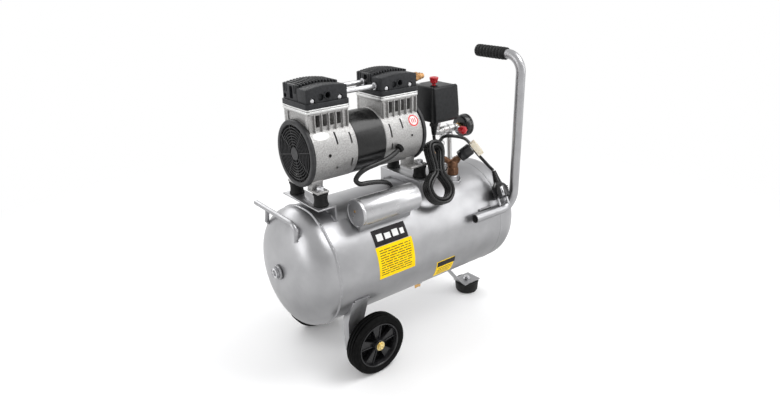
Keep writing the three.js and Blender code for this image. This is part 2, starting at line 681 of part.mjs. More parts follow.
// ---- Riser, manifold, switch, gauge and outlet --------------------------------------------------
function makeControls() {
  const low = TANK_Z + TANK_RADIUS + 8 + 2 * GAP;
  const high = MANIFOLD_Z - MANIFOLD_RADIUS - GAP;
  put(group(), "riser_tube", rod(v3(RISER_X, 0, low), v3(RISER_X - 4, 0, high), 6, 14), steel);

  const controls = group(0, 0, MANIFOLD_Z);
  const r = MANIFOLD_RADIUS;
  const manifold = joined(
    rod(v3(120, 0, 0), v3(GAUGE_X - GAP, 0, 0), r, 14),
    rod(v3(128, 0, 0), v3(128, 0, SWITCH.z0 - MANIFOLD_Z - GAP), r - 1, 14),
    rod(v3(TAP_X, 0, 0), v3(TAP_X, -20, 0), 7, 6),
    rod(v3(TAP_X, 0, 0), v3(TAP_X, 24, 0), 5, 12),
    rod(v3(RELIEF_X, 0, 0), v3(RELIEF_X, 0, -18), 6.5, 6),
  );
  const tapBore = rod(v3(TAP_X, -30, 0), v3(TAP_X, -12, 0), 3, 12);
  const pullBore = rod(v3(RELIEF_X, 0, -30), v3(RELIEF_X, 0, -10), 2.6, 12);
  put(controls, "manifold", cut(manifold, tapBore, pullBore), steel);

  const lobes = [0, 1, 2].map((i) => box(-2.6, 2.6, -18, -3, -8.5, 8.5).rotateY((Math.PI * i) / 3));
  const stem = rod(v3(0, 0, 0), v3(0, 7.4, 0), 2.5, 12);
  const tap = joined(stem, rod(v3(0, -16, 0), v3(0, 0, 0), 6.5, 12), ...lobes);
  put(group(TAP_X, -20 - GAP, MANIFOLD_Z), "outlet_tap", tap, redPlastic);

  const eye = new THREE.TorusGeometry(6, 1.3, 6, 14).rotateX(Math.PI / 2).translate(0, 0, -13);
  const pull = joined(rod(v3(0, 0, -8), v3(0, 0, 7), 2, 10), eye);
  put(group(RELIEF_X, 0, MANIFOLD_Z - 18), "safety_valve_pull", pull, steel);

  const s = SWITCH;
  const side = [
    [s.y0 - 6, s.z0 + 6],
    [s.y0 - 6, s.z0 + 22],
    [s.y0, s.z1 - 4],
    [s.y0 + 4, s.z1],
    [s.y1, s.z1],
    [s.y1, s.z0],
    [s.y0, s.z0],
  ];
  const KNOB_X = 112;
  const KNOB_Y = -6;
  const casing = slab("x", side.reverse(), s.x0, s.x1);
  const knobBore = rod(v3(KNOB_X, KNOB_Y, s.z1 - 24), v3(KNOB_X, KNOB_Y, s.z1 + 5), 5, 14);
  put(group(), "pressure_switch", cut(casing, knobBore), blackPlastic);
  const knob = turned(
    [[-14, 0], [-14, 4], [6, 4], [6, 7], [10, 7], [15, 9.5], [17, 9.5], [17, 0]],
    Z,
    [0, 0, 0],
    18,
  );
  put(group(KNOB_X, KNOB_Y, s.z1), "switch_knob", knob, redPlastic);

  const gauge = group(GAUGE_X, 0, MANIFOLD_Z);
  const g = GAUGE_RADIUS;
  const profile = [[0, 0], [0, g - 3], [2, g], [20, g], [20, g - 2], [14, g - 2], [14, 0]];
  put(gauge, "pressure_gauge", turned(profile, X, [0, 0, 0], 28), blackPaint);
  const needle = joined(
    rod(v3(14 + GAP, 0, 0), v3(16.5, 0, 0), 2.5, 10),
    slab("x", [[-1, -5], [1, -5], [0.5, 17], [-0.5, 17]], 14.8, 15.8).rotateX(2.36),
  );
  put(gauge, "gauge_needle", needle, redPlastic);
  put(gauge, "gauge_lens", rod(v3(17.5, 0, 0), v3(19, 0, 0), g - 2 - GAP, 28), clearPlastic);
}
makeCheckValve();
makeControls();

// ---- Capacitor ----------------------------------------------------------------------------------
function makeCapacitor() {
  const tilt = THREE.MathUtils.degToRad(127);
  const reach = TANK_RADIUS + 30;
  const holder = group(0, reach * Math.cos(tilt), TANK_Z + reach * Math.sin(tilt));
  const can = v3(-159, 0, 0);
  const canEnd = v3(-17, 0, 0);
  const shell = joined(
    rod(can, canEnd, 27.5, 28),
    box(-151, -27, -24, 24, -34, -10).rotateX(tilt - Math.PI / 2),
  );
  const tank = rod(v3(-300, 0, 0), v3(300, 0, 0), TANK_RADIUS + GAP, 96);
  tank.translate(0, -reach * Math.cos(tilt), -reach * Math.sin(tilt));
  put(holder, "capacitor_case", cut(shell, tank), silverPaint);
}
makeCapacitor();

// ---- Cables -------------------------------------------------------------------------------------
const smooth = (points) => new THREE.CatmullRomCurve3(points.map((p) => v3(...p)), false, "centripetal");

// From the motor's grommet, in a loop over the capacitor's back, into the capacitor's case.
const MOTOR_LEAD_ROUTE = [
  [-31, -65, 436],
  [-44, -67, 429.5],
  [-66, -70, 423],
  [-92, -71.5, 419],
  [-117, -72, 415.5],
  [-134, -72, 408.5],
  [-142, -72, 398.5],
  [-134, -72, 389.5],
  [-110, -72, 386],
  [-84, -72, 381.5],
  [-62, -66, 372],
  [-50, -58.5, 361],
];

// The mains lead from its gland to the hank, and from the hank over the coil to the plug.
const CORD_START_ROUTE = [
  [104, -16, 426.9],
  [104, -17.5, 419],
  [101, -23.5, 411],
  [97, -31.5, 405],
];
const CORD_ROUTE = [
  [103.5, -44, 428],
  [105, -50, 431.5],
  [110, -58, 433.2],
  [121, -65, 431.5],
  [134, -66.5, 427.5],
  [147, -63.5, 422],
  [160, -58, 415],
  [173, -52.5, 406],
  [186, -49, 394],
  [197, -49.5, 381],
  [206, -54.5, 368.5],
  [213, -63, 357],
  [217.5, -73, 347],
  [219.4, -84.5, 339.6],
];

function makeHank() {
  const top = v3(...HANK_TOP);
  const bottom = v3(...HANK_BOTTOM);
  const up = top.clone().sub(bottom);
  const length = up.length();
  up.normalize();
  const outward = X.clone().cross(up).normalize();
  const across = up.clone().cross(outward).normalize();
  const narrow = 25;
  const wide = 38;
  const outline = [
    ...arc(0, length - narrow, narrow, 0.1, Math.PI - 0.1, 8),
    ...arc(0, wide, wide, Math.PI - 0.1, 2 * Math.PI + 0.1, 10),
  ];
  const half = HANK_THICKNESS / 2;
  const geometry = slab("z", outline, -half, half);
  geometry.applyMatrix4(new THREE.Matrix4().makeBasis(across, up, outward).setPosition(bottom));
  put(group(), "cord_hank", geometry, rubber);
}

function makePlug() {
  const plug = group(...PLUG_CENTRE);
  const axis = v3(-0.17, -0.6, -0.79).normalize();
  plug.quaternion.setFromUnitVectors(Z, axis);
  const r = PLUG_RADIUS;
  const profile = [[-48, 0], [-48, 5.5], [-16, 9], [-14, r - 4], [-9, r], [14, r], [14, 0]];
  const body = turned(profile, Z, [0, 0, 0], 20);
  const pins = [-9.5, 9.5].map((x) => rod(v3(x, 0, 12), v3(x, 0, 32), 2.4, 8));
  put(plug, "mains_plug", joined(body, ...pins), blackPlastic);
}

function makeCables() {
  put(group(), "motor_lead", tubeAlong(smooth(MOTOR_LEAD_ROUTE), MOTOR_LEAD_RADIUS, 8, 20), rubber);
  const gland = joined(
    rod(v3(0, 0, 0), v3(0, 0, -7), 9, 6),
    rod(v3(0, 0, -6), v3(0, 0, -26), 7, 12, 4.4),
  );
  put(group(104, -16, SWITCH.z0 - GAP), "cord_gland", gland, blackPlastic);
  put(group(), "cord_start", tubeAlong(smooth(CORD_START_ROUTE), CORD_RADIUS, 8, 4), rubber);
  put(group(), "cord_run", tubeAlong(smooth(CORD_ROUTE), CORD_RADIUS, 8, 20), rubber);
  makeHank();
  makePlug();
}
makeCables();

compressor.updateMatrixWorld(true);
export default compressor;
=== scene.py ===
"""Portable oil-free air compressor: the looks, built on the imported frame. Lengths are in metres."""

import math
from random import Random

import bmesh
import bpy
from mathutils import Matrix, Vector


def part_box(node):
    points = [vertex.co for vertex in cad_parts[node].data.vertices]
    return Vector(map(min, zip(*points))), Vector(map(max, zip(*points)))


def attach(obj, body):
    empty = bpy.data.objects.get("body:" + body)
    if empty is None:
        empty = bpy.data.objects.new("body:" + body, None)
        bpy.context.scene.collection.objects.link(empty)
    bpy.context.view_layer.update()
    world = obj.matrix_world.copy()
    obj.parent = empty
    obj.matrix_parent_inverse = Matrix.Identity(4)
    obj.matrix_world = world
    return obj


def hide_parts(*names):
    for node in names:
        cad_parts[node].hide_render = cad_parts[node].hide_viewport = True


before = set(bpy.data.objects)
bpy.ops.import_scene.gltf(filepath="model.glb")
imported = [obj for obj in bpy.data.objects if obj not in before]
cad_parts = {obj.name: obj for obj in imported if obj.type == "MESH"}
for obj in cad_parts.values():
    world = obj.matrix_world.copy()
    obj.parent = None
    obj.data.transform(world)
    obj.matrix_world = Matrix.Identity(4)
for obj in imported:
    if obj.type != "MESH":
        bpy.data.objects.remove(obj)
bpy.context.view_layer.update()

X, Y, Z = Vector((1, 0, 0)), Vector((0, 1, 0)), Vector((0, 0, 1))


# ---- Places taken from the frame -----------------------------------------------------------------
class Box:
    """A CAD node's box at rest."""

    def __init__(self, *nodes):
        boxes = [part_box(node) for node in nodes]
        self.lo = Vector([min(low[i] for low, _ in boxes) for i in range(3)])
        self.hi = Vector([max(high[i] for _, high in boxes) for i in range(3)])
        self.mid = (self.lo + self.hi) / 2
        self.size = self.hi - self.lo


# ---- Camera --------------------------------------------------------------------------------------
LENS_MM, SENSOR_MM = 28.43, 36
CAMERA_PLACE = (-0.7587, -0.9527, 0.7793)
CAMERA_BACK = (-0.5773, -0.7302, 0.3654)  # from what it looks at towards the camera
CAMERA_RIGHT = (0.7844, -0.6202, 0)
CAMERA_ROLL = -1.07  # degrees


def make_camera():
    """The camera, with its level axis turned a little."""
    data = bpy.data.cameras.new("camera")
    data.lens = LENS_MM
    data.sensor_width = SENSOR_MM
    data.clip_start = 0.01
    camera = bpy.data.objects.new("camera", data)
    bpy.context.collection.objects.link(camera)
    back, right = Vector(CAMERA_BACK).normalized(), Vector(CAMERA_RIGHT).normalized()
    up = back.cross(right)
    turn = Matrix((right, up, back)).transposed().to_4x4()
    roll = Matrix.Rotation(math.radians(CAMERA_ROLL), 4, "Z")
    camera.matrix_world = Matrix.Translation(CAMERA_PLACE) @ turn @ roll
    bpy.context.scene.camera = camera


make_camera()


# ---- Mesh helpers --------------------------------------------------------------------------------
def new_object(name, verts, faces, material, sharp=35):
    mesh = bpy.data.meshes.new(name)
    mesh.from_pydata([tuple(v) for v in verts], [], faces)
    mesh.validate()
    obj = bpy.data.objects.new(name, mesh)
    bpy.context.collection.objects.link(obj)
    finish_mesh(obj, material, sharp)
    return obj


def finish_mesh(obj, material=None, sharp=35):
    """Outward normals, smooth shading with sharp creases, and the material."""
    work = bmesh.new()
    work.from_mesh(obj.data)
    bmesh.ops.remove_doubles(work, verts=work.verts, dist=1e-6)
    bmesh.ops.recalc_face_normals(work, faces=work.faces)
    work.to_mesh(obj.data)
    work.free()
    obj.data.shade_smooth()
    obj.data.set_sharp_from_angle(angle=math.radians(sharp))
    if material:
        obj.data.materials.clear()
        obj.data.materials.append(material)


def basis(axis, start):
    """A matrix that takes local Z to axis and the origin to start."""
    turn = Z.rotation_difference(axis.normalized())
    return Matrix.Translation(start) @ turn.to_matrix().to_4x4()


def lathe(name, profile, start, axis, material, segments=96, sharp=35):
    """Turns [along, radius] points about an axis; a closed profile gives a ring."""
    verts, rows = [], []
    place = basis(axis, start)
    for along, radius in profile:
        if radius < 1e-7:
            rows.append([len(verts)] * segments)
            verts.append(place @ Vector((0, 0, along)))
            continue
        rows.append(list(range(len(verts), len(verts) + segments)))
        for i in range(segments):
            angle = 2 * math.pi * i / segments
            verts.append(place @ Vector((radius * math.cos(angle), radius * math.sin(angle), along)))
    faces = []
    for a, b in zip(rows, rows[1:]):
        for i in range(segments):
            j = (i + 1) % segments
            corners = [a[i], a[j], b[j], b[i]]
            face = [v for k, v in enumerate(corners) if v != corners[k - 1]]
            if len(face) > 2:
                faces.append(face)
    return new_object(name, verts, faces, material, sharp)


def turned(name, profile, *rest):
    """A lathe whose profile is in millimetres."""
    return lathe(name, [(along / 1000, radius / 1000) for along, radius in profile], *rest)


def rod(name, start, end, radius, material, bevel=0.0004, sides=32):
    """A round bar with a small chamfer at each end."""
    start, end = Vector(start), Vector(end)
    length = (end - start).length
    profile = [(0, 0), (0, radius - bevel), (bevel, radius)]
    profile += [(length - bevel, radius), (length, radius - bevel), (length, 0)]
    return lathe(name, profile, start, end - start, material, sides)


def hexagon(name, start, end, flats, material):
    """A hex nut or bolt head with chamfered corners, cut from a turned blank."""
    start, end = Vector(start), Vector(end)
    length = (end - start).length
    nut = prism(name, polygon(6, flats / math.sqrt(3)), basis(end - start, start), length, material, 0.0003)
    corner = flats / math.sqrt(3) * 1.003
    profile = [(0, 0), (0, flats / 2 * 0.97), (length * 0.16, corner)]
    profile += [(length * 0.84, corner), (length, flats / 2 * 0.97), (length, 0)]
    blank = lathe(name + "_blank", profile, start, end - start, material, 36)
    boolean(nut, blank, "INTERSECT")
    finish_mesh(nut, material)
    return nut


def polygon(sides, radius):
    """A regular outline about the origin."""
    step = 2 * math.pi / sides
    return [(radius * math.cos(step * i), radius * math.sin(step * i)) for i in range(sides)]


def rounded(width, height, radius, steps=5):
    """A rectangle's outline about the origin with round corners."""
    points = []
    corners = [(1, 1, 0), (-1, 1, 90), (-1, -1, 180), (1, -1, 270)]
    for sx, sy, first in corners:
        cx, cy = sx * (width / 2 - radius), sy * (height / 2 - radius)
        for i in range(steps + 1):
            angle = math.radians(first + 90 * i / steps)
            points.append((cx + radius * math.cos(angle), cy + radius * math.sin(angle)))
    return points


def prism(name, outline, place, depth, material, bevel=0.0006, segments=2):
    """An outline in local XY pushed depth along local Z, with its edges rounded."""
    count = len(outline)
    verts = [place @ Vector((a, b, 0)) for a, b in outline]
    verts += [place @ Vector((a, b, depth)) for a, b in outline]
    faces = [list(range(count))[::-1], list(range(count, 2 * count))]
    faces += [[i, (i + 1) % count, (i + 1) % count + count, i + count] for i in range(count)]
    obj = new_object(name, verts, faces, material)
    if bevel:
        round_edges(obj, bevel, segments)
    return obj


def along_x(start):
    """Local X to +Y, local Y to +Z, local Z to +X."""
    return Matrix.Translation(start) @ Matrix(((0, 0, 1), (1, 0, 0), (0, 1, 0))).to_4x4()


def along_y(start):
    """Local X to +X, local Y to +Z, local Z to -Y."""
    return Matrix.Translation(start) @ Matrix(((1, 0, 0), (0, 0, -1), (0, 1, 0))).to_4x4()


def box(name, low, high, material, bevel=0.0006, segments=2):
    low, high = Vector(low), Vector(high)
    size, mid = high - low, (low + high) / 2
    outline = [
        (-size.x / 2, -size.y / 2), (size.x / 2, -size.y / 2), (size.x / 2, size.y / 2),
        (-size.x / 2, size.y / 2),
    ]
    return prism(
        name, outline, Matrix.Translation((mid.x, mid.y, low.z)), size.z, material, bevel, segments
    )


def apply_modifiers(obj):
    """Turns an object with modifiers into a plain mesh."""
    graph = bpy.context.evaluated_depsgraph_get()
    mesh = bpy.data.meshes.new_from_object(obj.evaluated_get(graph))
    obj.modifiers.clear()
    old, obj.data = obj.data, mesh
    mesh.name = obj.name
    bpy.data.meshes.remove(old)


def round_edges(obj, width, segments=2):
    """Rounds the creases over 30 degrees and shades the rest smooth."""
    bevel = obj.modifiers.new("bevel", "BEVEL")
    bevel.width = width
    bevel.segments = segments
    bevel.limit_method = "ANGLE"
    bevel.angle_limit = math.radians(30)
    bevel.use_clamp_overlap = True
    apply_modifiers(obj)
    obj.data.shade_smooth()
    obj.data.set_sharp_from_angle(angle=math.radians(50))


def boolean(obj, tool, operation="DIFFERENCE"):
    """Cuts or joins obj with tool, and removes tool."""
    change = obj.modifiers.new("boolean", "BOOLEAN")
    change.operation = operation
    change.solver = "EXACT"
    change.object = tool
    apply_modifiers(obj)
    bpy.data.objects.remove(tool)
    return obj


def join(name, pieces):
    """Several meshes in one object, each keeping its own material."""
    work = bmesh.new()
    materials = []
    for piece in pieces:
        for material in piece.data.materials:
            if material not in materials:
                materials.append(material)
    for piece in pieces:
        first = len(work.faces)
        mesh = piece.data.copy()
        mesh.transform(piece.matrix_world)
        work.from_mesh(mesh)
        work.faces.ensure_lookup_table()
        slots = [materials.index(m) for m in piece.data.materials] or [0]
        for face in work.faces[first:]:
            face.material_index = slots[min(face.material_index, len(slots) - 1)]
        bpy.data.meshes.remove(mesh)
    mesh = bpy.data.meshes.new(name)
    work.to_mesh(mesh)
    work.free()
    for material in materials:
        mesh.materials.append(material)
    for piece in pieces:
        bpy.data.objects.remove(piece)
    obj = bpy.data.objects.new(name, mesh)
    bpy.context.collection.objects.link(obj)
    return obj


def smooth_line(points, steps=10):
    """Points of a centripetal Catmull-Rom curve through the given ones."""
    points = [Vector(p) for p in points]
    ends = [points[0] * 2 - points[1], *points, points[-1] * 2 - points[-2]]
    line = []
    for a, b, c, d in zip(ends, ends[1:], ends[2:], ends[3:]):
        knots = [0.0]
        for p, q in ((a, b), (b, c), (c, d)):
            knots.append(knots[-1] + max((q - p).length, 1e-6) ** 0.5)
        for i in range(steps):
            t = knots[1] + (knots[2] - knots[1]) * i / steps
            mix = lambda p, q, s, e: p * ((e - t) / (e - s)) + q * ((t - s) / (e - s))
            ab = mix(a, b, knots[0], knots[1])
            bc = mix(b, c, knots[1], knots[2])
            cd = mix(c, d, knots[2], knots[3])
            line.append(
                mix(mix(ab, bc, knots[0], knots[2]), mix(bc, cd, knots[1], knots[3]), knots[1], knots[2])
            )
    line.append(points[-1])
    return line


def bent_line(points, bend, steps=8):
    """Straight runs joined by round bends, as on a bent tube."""
    points = [Vector(p) for p in points]
    line = [points[0]]
    for before, corner, after in zip(points, points[1:], points[2:]):
        back, on = (before - corner).normalized(), (after - corner).normalized()
        half = back.angle(on) / 2
        reach = min(bend / math.tan(half), (before - corner).length * 0.9, (after - corner).length * 0.49)
        radius = reach * math.tan(half)
        centre = corner + (back + on).normalized() * (radius / math.sin(half))
        start, end = corner + back * reach - centre, corner + on * reach - centre
        for i in range(steps + 1):
            line.append(centre + start.normalized().slerp(end.normalized(), i / steps) * radius)
    line.append(points[-1])
    return line


def tube(name, line, radius, material, sides=24, capped=True, radii=None):
    """A round bar along a line, with its frame carried along so that it doesn't twist."""
    verts, faces = [], []
    tangents = [(b - a).normalized() for a, b in zip(line, line[1:])]
    tangents = [tangents[0], *[(a + b).normalized() for a, b in zip(tangents, tangents[1:])], tangents[-1]]
    side = tangents[0].orthogonal().normalized()
    for i, (point, tangent) in enumerate(zip(line, tangents)):
        side = (side - tangent * side.dot(tangent)).normalized()
        other = tangent.cross(side)
        size = radii[i] if radii else radius
        for k in range(sides):
            angle = 2 * math.pi * k / sides
            verts.append(point + (side * math.cos(angle) + other * math.sin(angle)) * size)
    for i in range(len(line) - 1):
        for k in range(sides):
            n = (k + 1) % sides
            faces.append([i * sides + k, i * sides + n, (i + 1) * sides + n, (i + 1) * sides + k])
    if capped:
        last = (len(line) - 1) * sides
        faces += [list(range(sides))[::-1], list(range(last, last + sides))]
    return new_object(name, verts, faces, material, 50)


def add(piece, body, slot, *nodes):
    """The piece rides on a body and stands for these CAD nodes; slot is not used."""
    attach(piece, body)
    if nodes:
        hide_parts(*nodes)
    return piece


# ---- Materials -----------------------------------------------------------------------------------
def finish(name, dark, light, rough, metallic=0.0, grain=40, bump=0.0, bump_size=900, gloss=0.5):
    """A two-tone surface with uneven roughness and a fine bump."""
    material = bpy.data.materials.new(name)
    material.use_nodes = True
    nodes, links = material.node_tree.nodes, material.node_tree.links
    shader = nodes["Principled BSDF"]
    shader.inputs["Metallic"].default_value = metallic
    shader.inputs["Specular IOR Level"].default_value = gloss
    place = nodes.new("ShaderNodeTexCoord").outputs["Object"]

    def noise(scale, detail=4.0):
        node = nodes.new("ShaderNodeTexNoise")
        node.inputs["Scale"].default_value = scale
        node.inputs["Detail"].default_value = detail
        links.new(place, node.inputs["Vector"])
        return node.outputs["Fac"]

    tones = nodes.new("ShaderNodeValToRGB")
    tones.color_ramp.elements[0].position = 0.35
    tones.color_ramp.elements[0].color = (*dark, 1)
    tones.color_ramp.elements[1].position = 0.65
    tones.color_ramp.elements[1].color = (*light, 1)
    links.new(noise(grain), tones.inputs["Fac"])
    links.new(tones.outputs["Color"], shader.inputs["Base Color"])
    span = nodes.new("ShaderNodeMapRange")
    span.inputs["To Min"].default_value = rough[0]
    span.inputs["To Max"].default_value = rough[1]
    span.inputs["From Min"].default_value = 0.3
    span.inputs["From Max"].default_value = 0.7
    links.new(noise(grain * 2.3), span.inputs["Value"])
    links.new(span.outputs["Result"], shader.inputs["Roughness"])
    if bump:
        bumps = nodes.new("ShaderNodeBump")
        bumps.inputs["Strength"].default_value = bump
        bumps.inputs["Distance"].default_value = 0.0005
        links.new(noise(bump_size, 6.0), bumps.inputs["Height"])
        links.new(bumps.outputs["Normal"], shader.inputs["Normal"])
    return material


def grey(tone):
    return (tone, tone, tone)


SILVER = finish("silver_paint", (0.36, 0.36, 0.37), (0.41, 0.41, 0.42), (0.32, 0.38), 0.88, 25, 0.04, 1500)
CAST = finish(
    "cast_aluminium", (0.30, 0.295, 0.29), (0.46, 0.455, 0.45), (0.40, 0.54), 0.75, 420, 0.5, 1100
)
MACHINED = finish("machined_aluminium", grey(0.62), (0.7, 0.7, 0.69), (0.28, 0.4), 0.85, 90, 0.15, 1500)
CAN_SILVER = finish("can_silver", (0.46, 0.46, 0.47), (0.52, 0.52, 0.53), (0.26, 0.33), 0.9, 30, 0.04, 1500)
HEAD_BLACK = finish(
    "head_black", (0.010, 0.0105, 0.012), (0.020, 0.021, 0.024), (0.42, 0.58), 0, 200, 0.4, 900, 0.3
)
STATOR_BLACK = finish("stator_black", grey(0.006), grey(0.012), (0.16, 0.28), 0, 300, 0.1, 1200, 0.4)
PLASTIC = finish(
    "black_plastic", (0.009, 0.0095, 0.0105), (0.016, 0.0165, 0.018), (0.34, 0.46), 0, 160, 0.2, 2500, 0.25
)
SHINY_PLASTIC = finish(
    "shiny_plastic", (0.008, 0.008, 0.009), (0.014, 0.014, 0.015), (0.14, 0.24), 0, 90, 0.05, 1500
)
GRILLE = finish(
    "grille_plastic", (0.018, 0.018, 0.019), (0.034, 0.034, 0.036), (0.38, 0.5), 0, 160, 0.2, 2200, 0.3
)
RUBBER = finish("rubber", grey(0.006), grey(0.013), (0.5, 0.66), 0, 140, 0.3, 1800, 0.2)
TYRE = finish("tyre", grey(0.003), grey(0.007), (0.5, 0.66), 0, 120, 0.3, 1500, 0.05)
JACKET = finish("cord_jacket", grey(0.004), grey(0.009), (0.2, 0.3), 0, 200, 0.1, 1800, 0.4)
STEEL = finish("zinc_steel", (0.56, 0.56, 0.58), (0.68, 0.68, 0.69), (0.28, 0.4), 0.95, 220, 0.15, 1400)
BRASS = finish("brass", (0.62, 0.36, 0.13), (0.72, 0.46, 0.2), (0.26, 0.4), 0.95, 200, 0.15, 1300)
AGED_BRASS = finish(
    "aged_brass", (0.36, 0.19, 0.08), (0.50, 0.29, 0.13), (0.32, 0.46), 0.85, 220, 0.25, 1100
)
BRONZE = finish("bronze", (0.12, 0.06, 0.032), (0.2, 0.1, 0.055), (0.34, 0.5), 0.7, 240, 0.3, 900)
YELLOW_ZINC = finish(
    "yellow_zinc", (0.72, 0.54, 0.2), (0.8, 0.68, 0.36), (0.22, 0.34), 0.9, 300, 0.15, 1300
)
RED = finish("red_plastic", (0.42, 0.004, 0.010), (0.52, 0.008, 0.016), (0.22, 0.34), 0, 120, 0.1, 1500)
NYLON = finish("white_nylon", (0.74, 0.66, 0.5), (0.84, 0.79, 0.68), (0.34, 0.5), 0, 150, 0.2, 1300)


def mm(*values):
    """A vector given in millimetres."""
    return Vector(values) / 1000


# ---- Floor and light -----------------------------------------------------------------------------
# Area lights: [name, place, width, height, watts], all turned to the object.
LIGHTS = [
    ("key", (0.9, -0.8, 2.0), 1.4, 1.0, 20),
    ("side", (1.6, -1.5, 1.1), 0.7, 1.4, 8),
    ("back", (-0.2, 2.0, 1.6), 2.4, 1.0, 20),
    ("left", (-2.0, 0.5, 0.9), 0.8, 1.4, 9),
]
LIGHTS_LOOK_AT = (0, 0, 0.25)
FLOOR_HALF = 30
FLOOR_FADE = (0.55, 1.5)  # between these distances the floor fades into an even white
# The sky's brightness: [height, from -1 straight down to 1 straight up, brightness].
SKY = [(-1, 0.75), (-0.7, 0.6), (-0.45, 1.15), (-0.1, 1.0), (0.1, 1.0), (0.4, 0.6), (0.75, 0.85), (1, 0.8)]


def make_studio():
    """A white floor that fades into the surroundings, a soft sky and four area lights."""
    corners = [(FLOOR_HALF * a, FLOOR_HALF * b, 0) for a, b in ((-1, -1), (1, -1), (1, 1), (-1, 1))]
    floor = new_object("floor", corners, [(0, 1, 2, 3)], None)
    paper = bpy.data.materials.new("paper")
    paper.use_nodes = True
    nodes, links = paper.node_tree.nodes, paper.node_tree.links
    shader = nodes["Principled BSDF"]
    shader.inputs["Base Color"].default_value = (0.97, 0.97, 0.975, 1)
    shader.inputs["Roughness"].default_value = 0.75
    glow = nodes.new("ShaderNodeEmission")
    glow.inputs["Strength"].default_value = 1.0
    mix = nodes.new("ShaderNodeMixShader")
    reach = nodes.new("ShaderNodeVectorMath")
    reach.operation = "LENGTH"
    links.new(nodes.new("ShaderNodeTexCoord").outputs["Object"], reach.inputs[0])
    fade = nodes.new("ShaderNodeMapRange")
    fade.interpolation_type = "SMOOTHSTEP"
    fade.inputs["From Min"].default_value = FLOOR_FADE[0]
    fade.inputs["From Max"].default_value = FLOOR_FADE[1]
    links.new(reach.outputs["Value"], fade.inputs["Value"])
    links.new(fade.outputs["Result"], mix.inputs["Fac"])
    links.new(shader.outputs["BSDF"], mix.inputs[1])
    links.new(glow.outputs["Emission"], mix.inputs[2])
    links.new(mix.outputs["Shader"], nodes["Material Output"].inputs["Surface"])
    floor.data.materials.append(paper)
    floor.visible_glossy = False
    world = bpy.data.worlds.new("studio")
    bpy.context.scene.world = world
    world.use_nodes = True
    nodes, links = world.node_tree.nodes, world.node_tree.links
    split = nodes.new("ShaderNodeSeparateXYZ")
    links.new(nodes.new("ShaderNodeTexCoord").outputs["Generated"], split.inputs[0])
    ramp = nodes.new("ShaderNodeValToRGB")
    half_turn = nodes.new("ShaderNodeMapRange")
    half_turn.inputs["From Min"].default_value = -1
    links.new(split.outputs["Z"], half_turn.inputs["Value"])
    links.new(half_turn.outputs["Result"], ramp.inputs["Fac"])
    while len(ramp.color_ramp.elements) < len(SKY):
        ramp.color_ramp.elements.new(0.5)
    for element, (height, white) in zip(ramp.color_ramp.elements, SKY):
        element.position = (height + 1) / 2
        element.color = (white, white, white, 1)
    links.new(ramp.outputs["Color"], nodes["Background"].inputs["Color"])
    for name, place, width, height, power in LIGHTS:
        data = bpy.data.lights.new(name, "AREA")
        data.shape = "RECTANGLE"
        data.size, data.size_y, data.energy = width, height, power
        light = bpy.data.objects.new(name, data)
        bpy.context.collection.objects.link(light)
        light.location = place
        light.rotation_mode = "QUATERNION"
        light.rotation_quaternion = (Vector(LIGHTS_LOOK_AT) - light.location).to_track_quat("-Z", "Y")
    bpy.context.scene.view_settings.view_transform = "Standard"


make_studio()

# ---- Mains lead ----------------------------------------------------------------------------------
CORD_DIAMETER = 0.007
HANK_TOP, HANK_BOTTOM = mm(76, -46, 428), mm(38, -110, 313)
STRAND = 7.3  # from one strand's middle to the next
# Half of a turn's outline: [half its width, height] from its bottom to its top, pinched by the tie.
HANK_SIDE = [
    (0, 4), (17, 8), (29, 22), (31, 38), (22.5, 54), (12, 67), (12.5, 82), (16, 98), (18.5, 114),
    (14.5, 127.5), (0, 133),
]
TIE_HEIGHT = 71
# Each turn's place in the bundle: [0 outside or 1 inside, strands in front of the middle].
HANK_PLACES = [(0, -1), (0, 0), (0, 1), (1, 1), (1, 0), (1, -1), (1, -1)]
START_ROUTE = [(104, -16, 426.9), (104, -17.5, 419), (101, -23.5, 411), (97, -31.5, 405)]
RUN_ROUTE = [
    (103.5, -44, 428), (105, -50, 431.5), (110, -58, 433.2), (121, -65, 431.5), (134, -66.5, 427.5),
    (147, -63.5, 422), (160, -58, 415), (173, -52.5, 406), (186, -49, 394), (197, -49.5, 381),
    (206, -54.5, 368.5), (213, -63, 357), (217.5, -73, 347), (219.4, -84.5, 339.6),
]

hank_up = (HANK_TOP - HANK_BOTTOM).normalized()
hank_out = X.cross(hank_up).normalized()
hank_across = hank_up.cross(hank_out)


def hank_point(width, height, depth):
    """A point in the hank's own axes, in millimetres."""
    return HANK_BOTTOM + (hank_across * width + hank_up * height + hank_out * depth) / 1000


def hank_route():
    """Six turns: two side by side, each three deep. Each turn moves to the next one's place near its end."""
    outer = [Vector((-a, b)) for a, b in HANK_SIDE[:0:-1]] + [Vector(p) for p in HANK_SIDE[:-1]]
    inner = []
    for i, point in enumerate(outer):
        along = (outer[(i + 1) % len(outer)] - outer[i - 1]).normalized()
        inner.append(point + Vector((-along.y, along.x)) * STRAND)
    points = []
    for turn in range(len(HANK_PLACES) - 1):
        for i, (far, near) in enumerate(zip(outer, inner)):
            late = max(0.0, (i / len(outer) - 0.75) / 0.25)
            ring, depth = [
                a * (1 - late) + b * late for a, b in zip(HANK_PLACES[turn], HANK_PLACES[turn + 1])
            ]
            place = far.lerp(near, ring)
            points.append(hank_point(place.x, place.y, depth * STRAND))
    return points


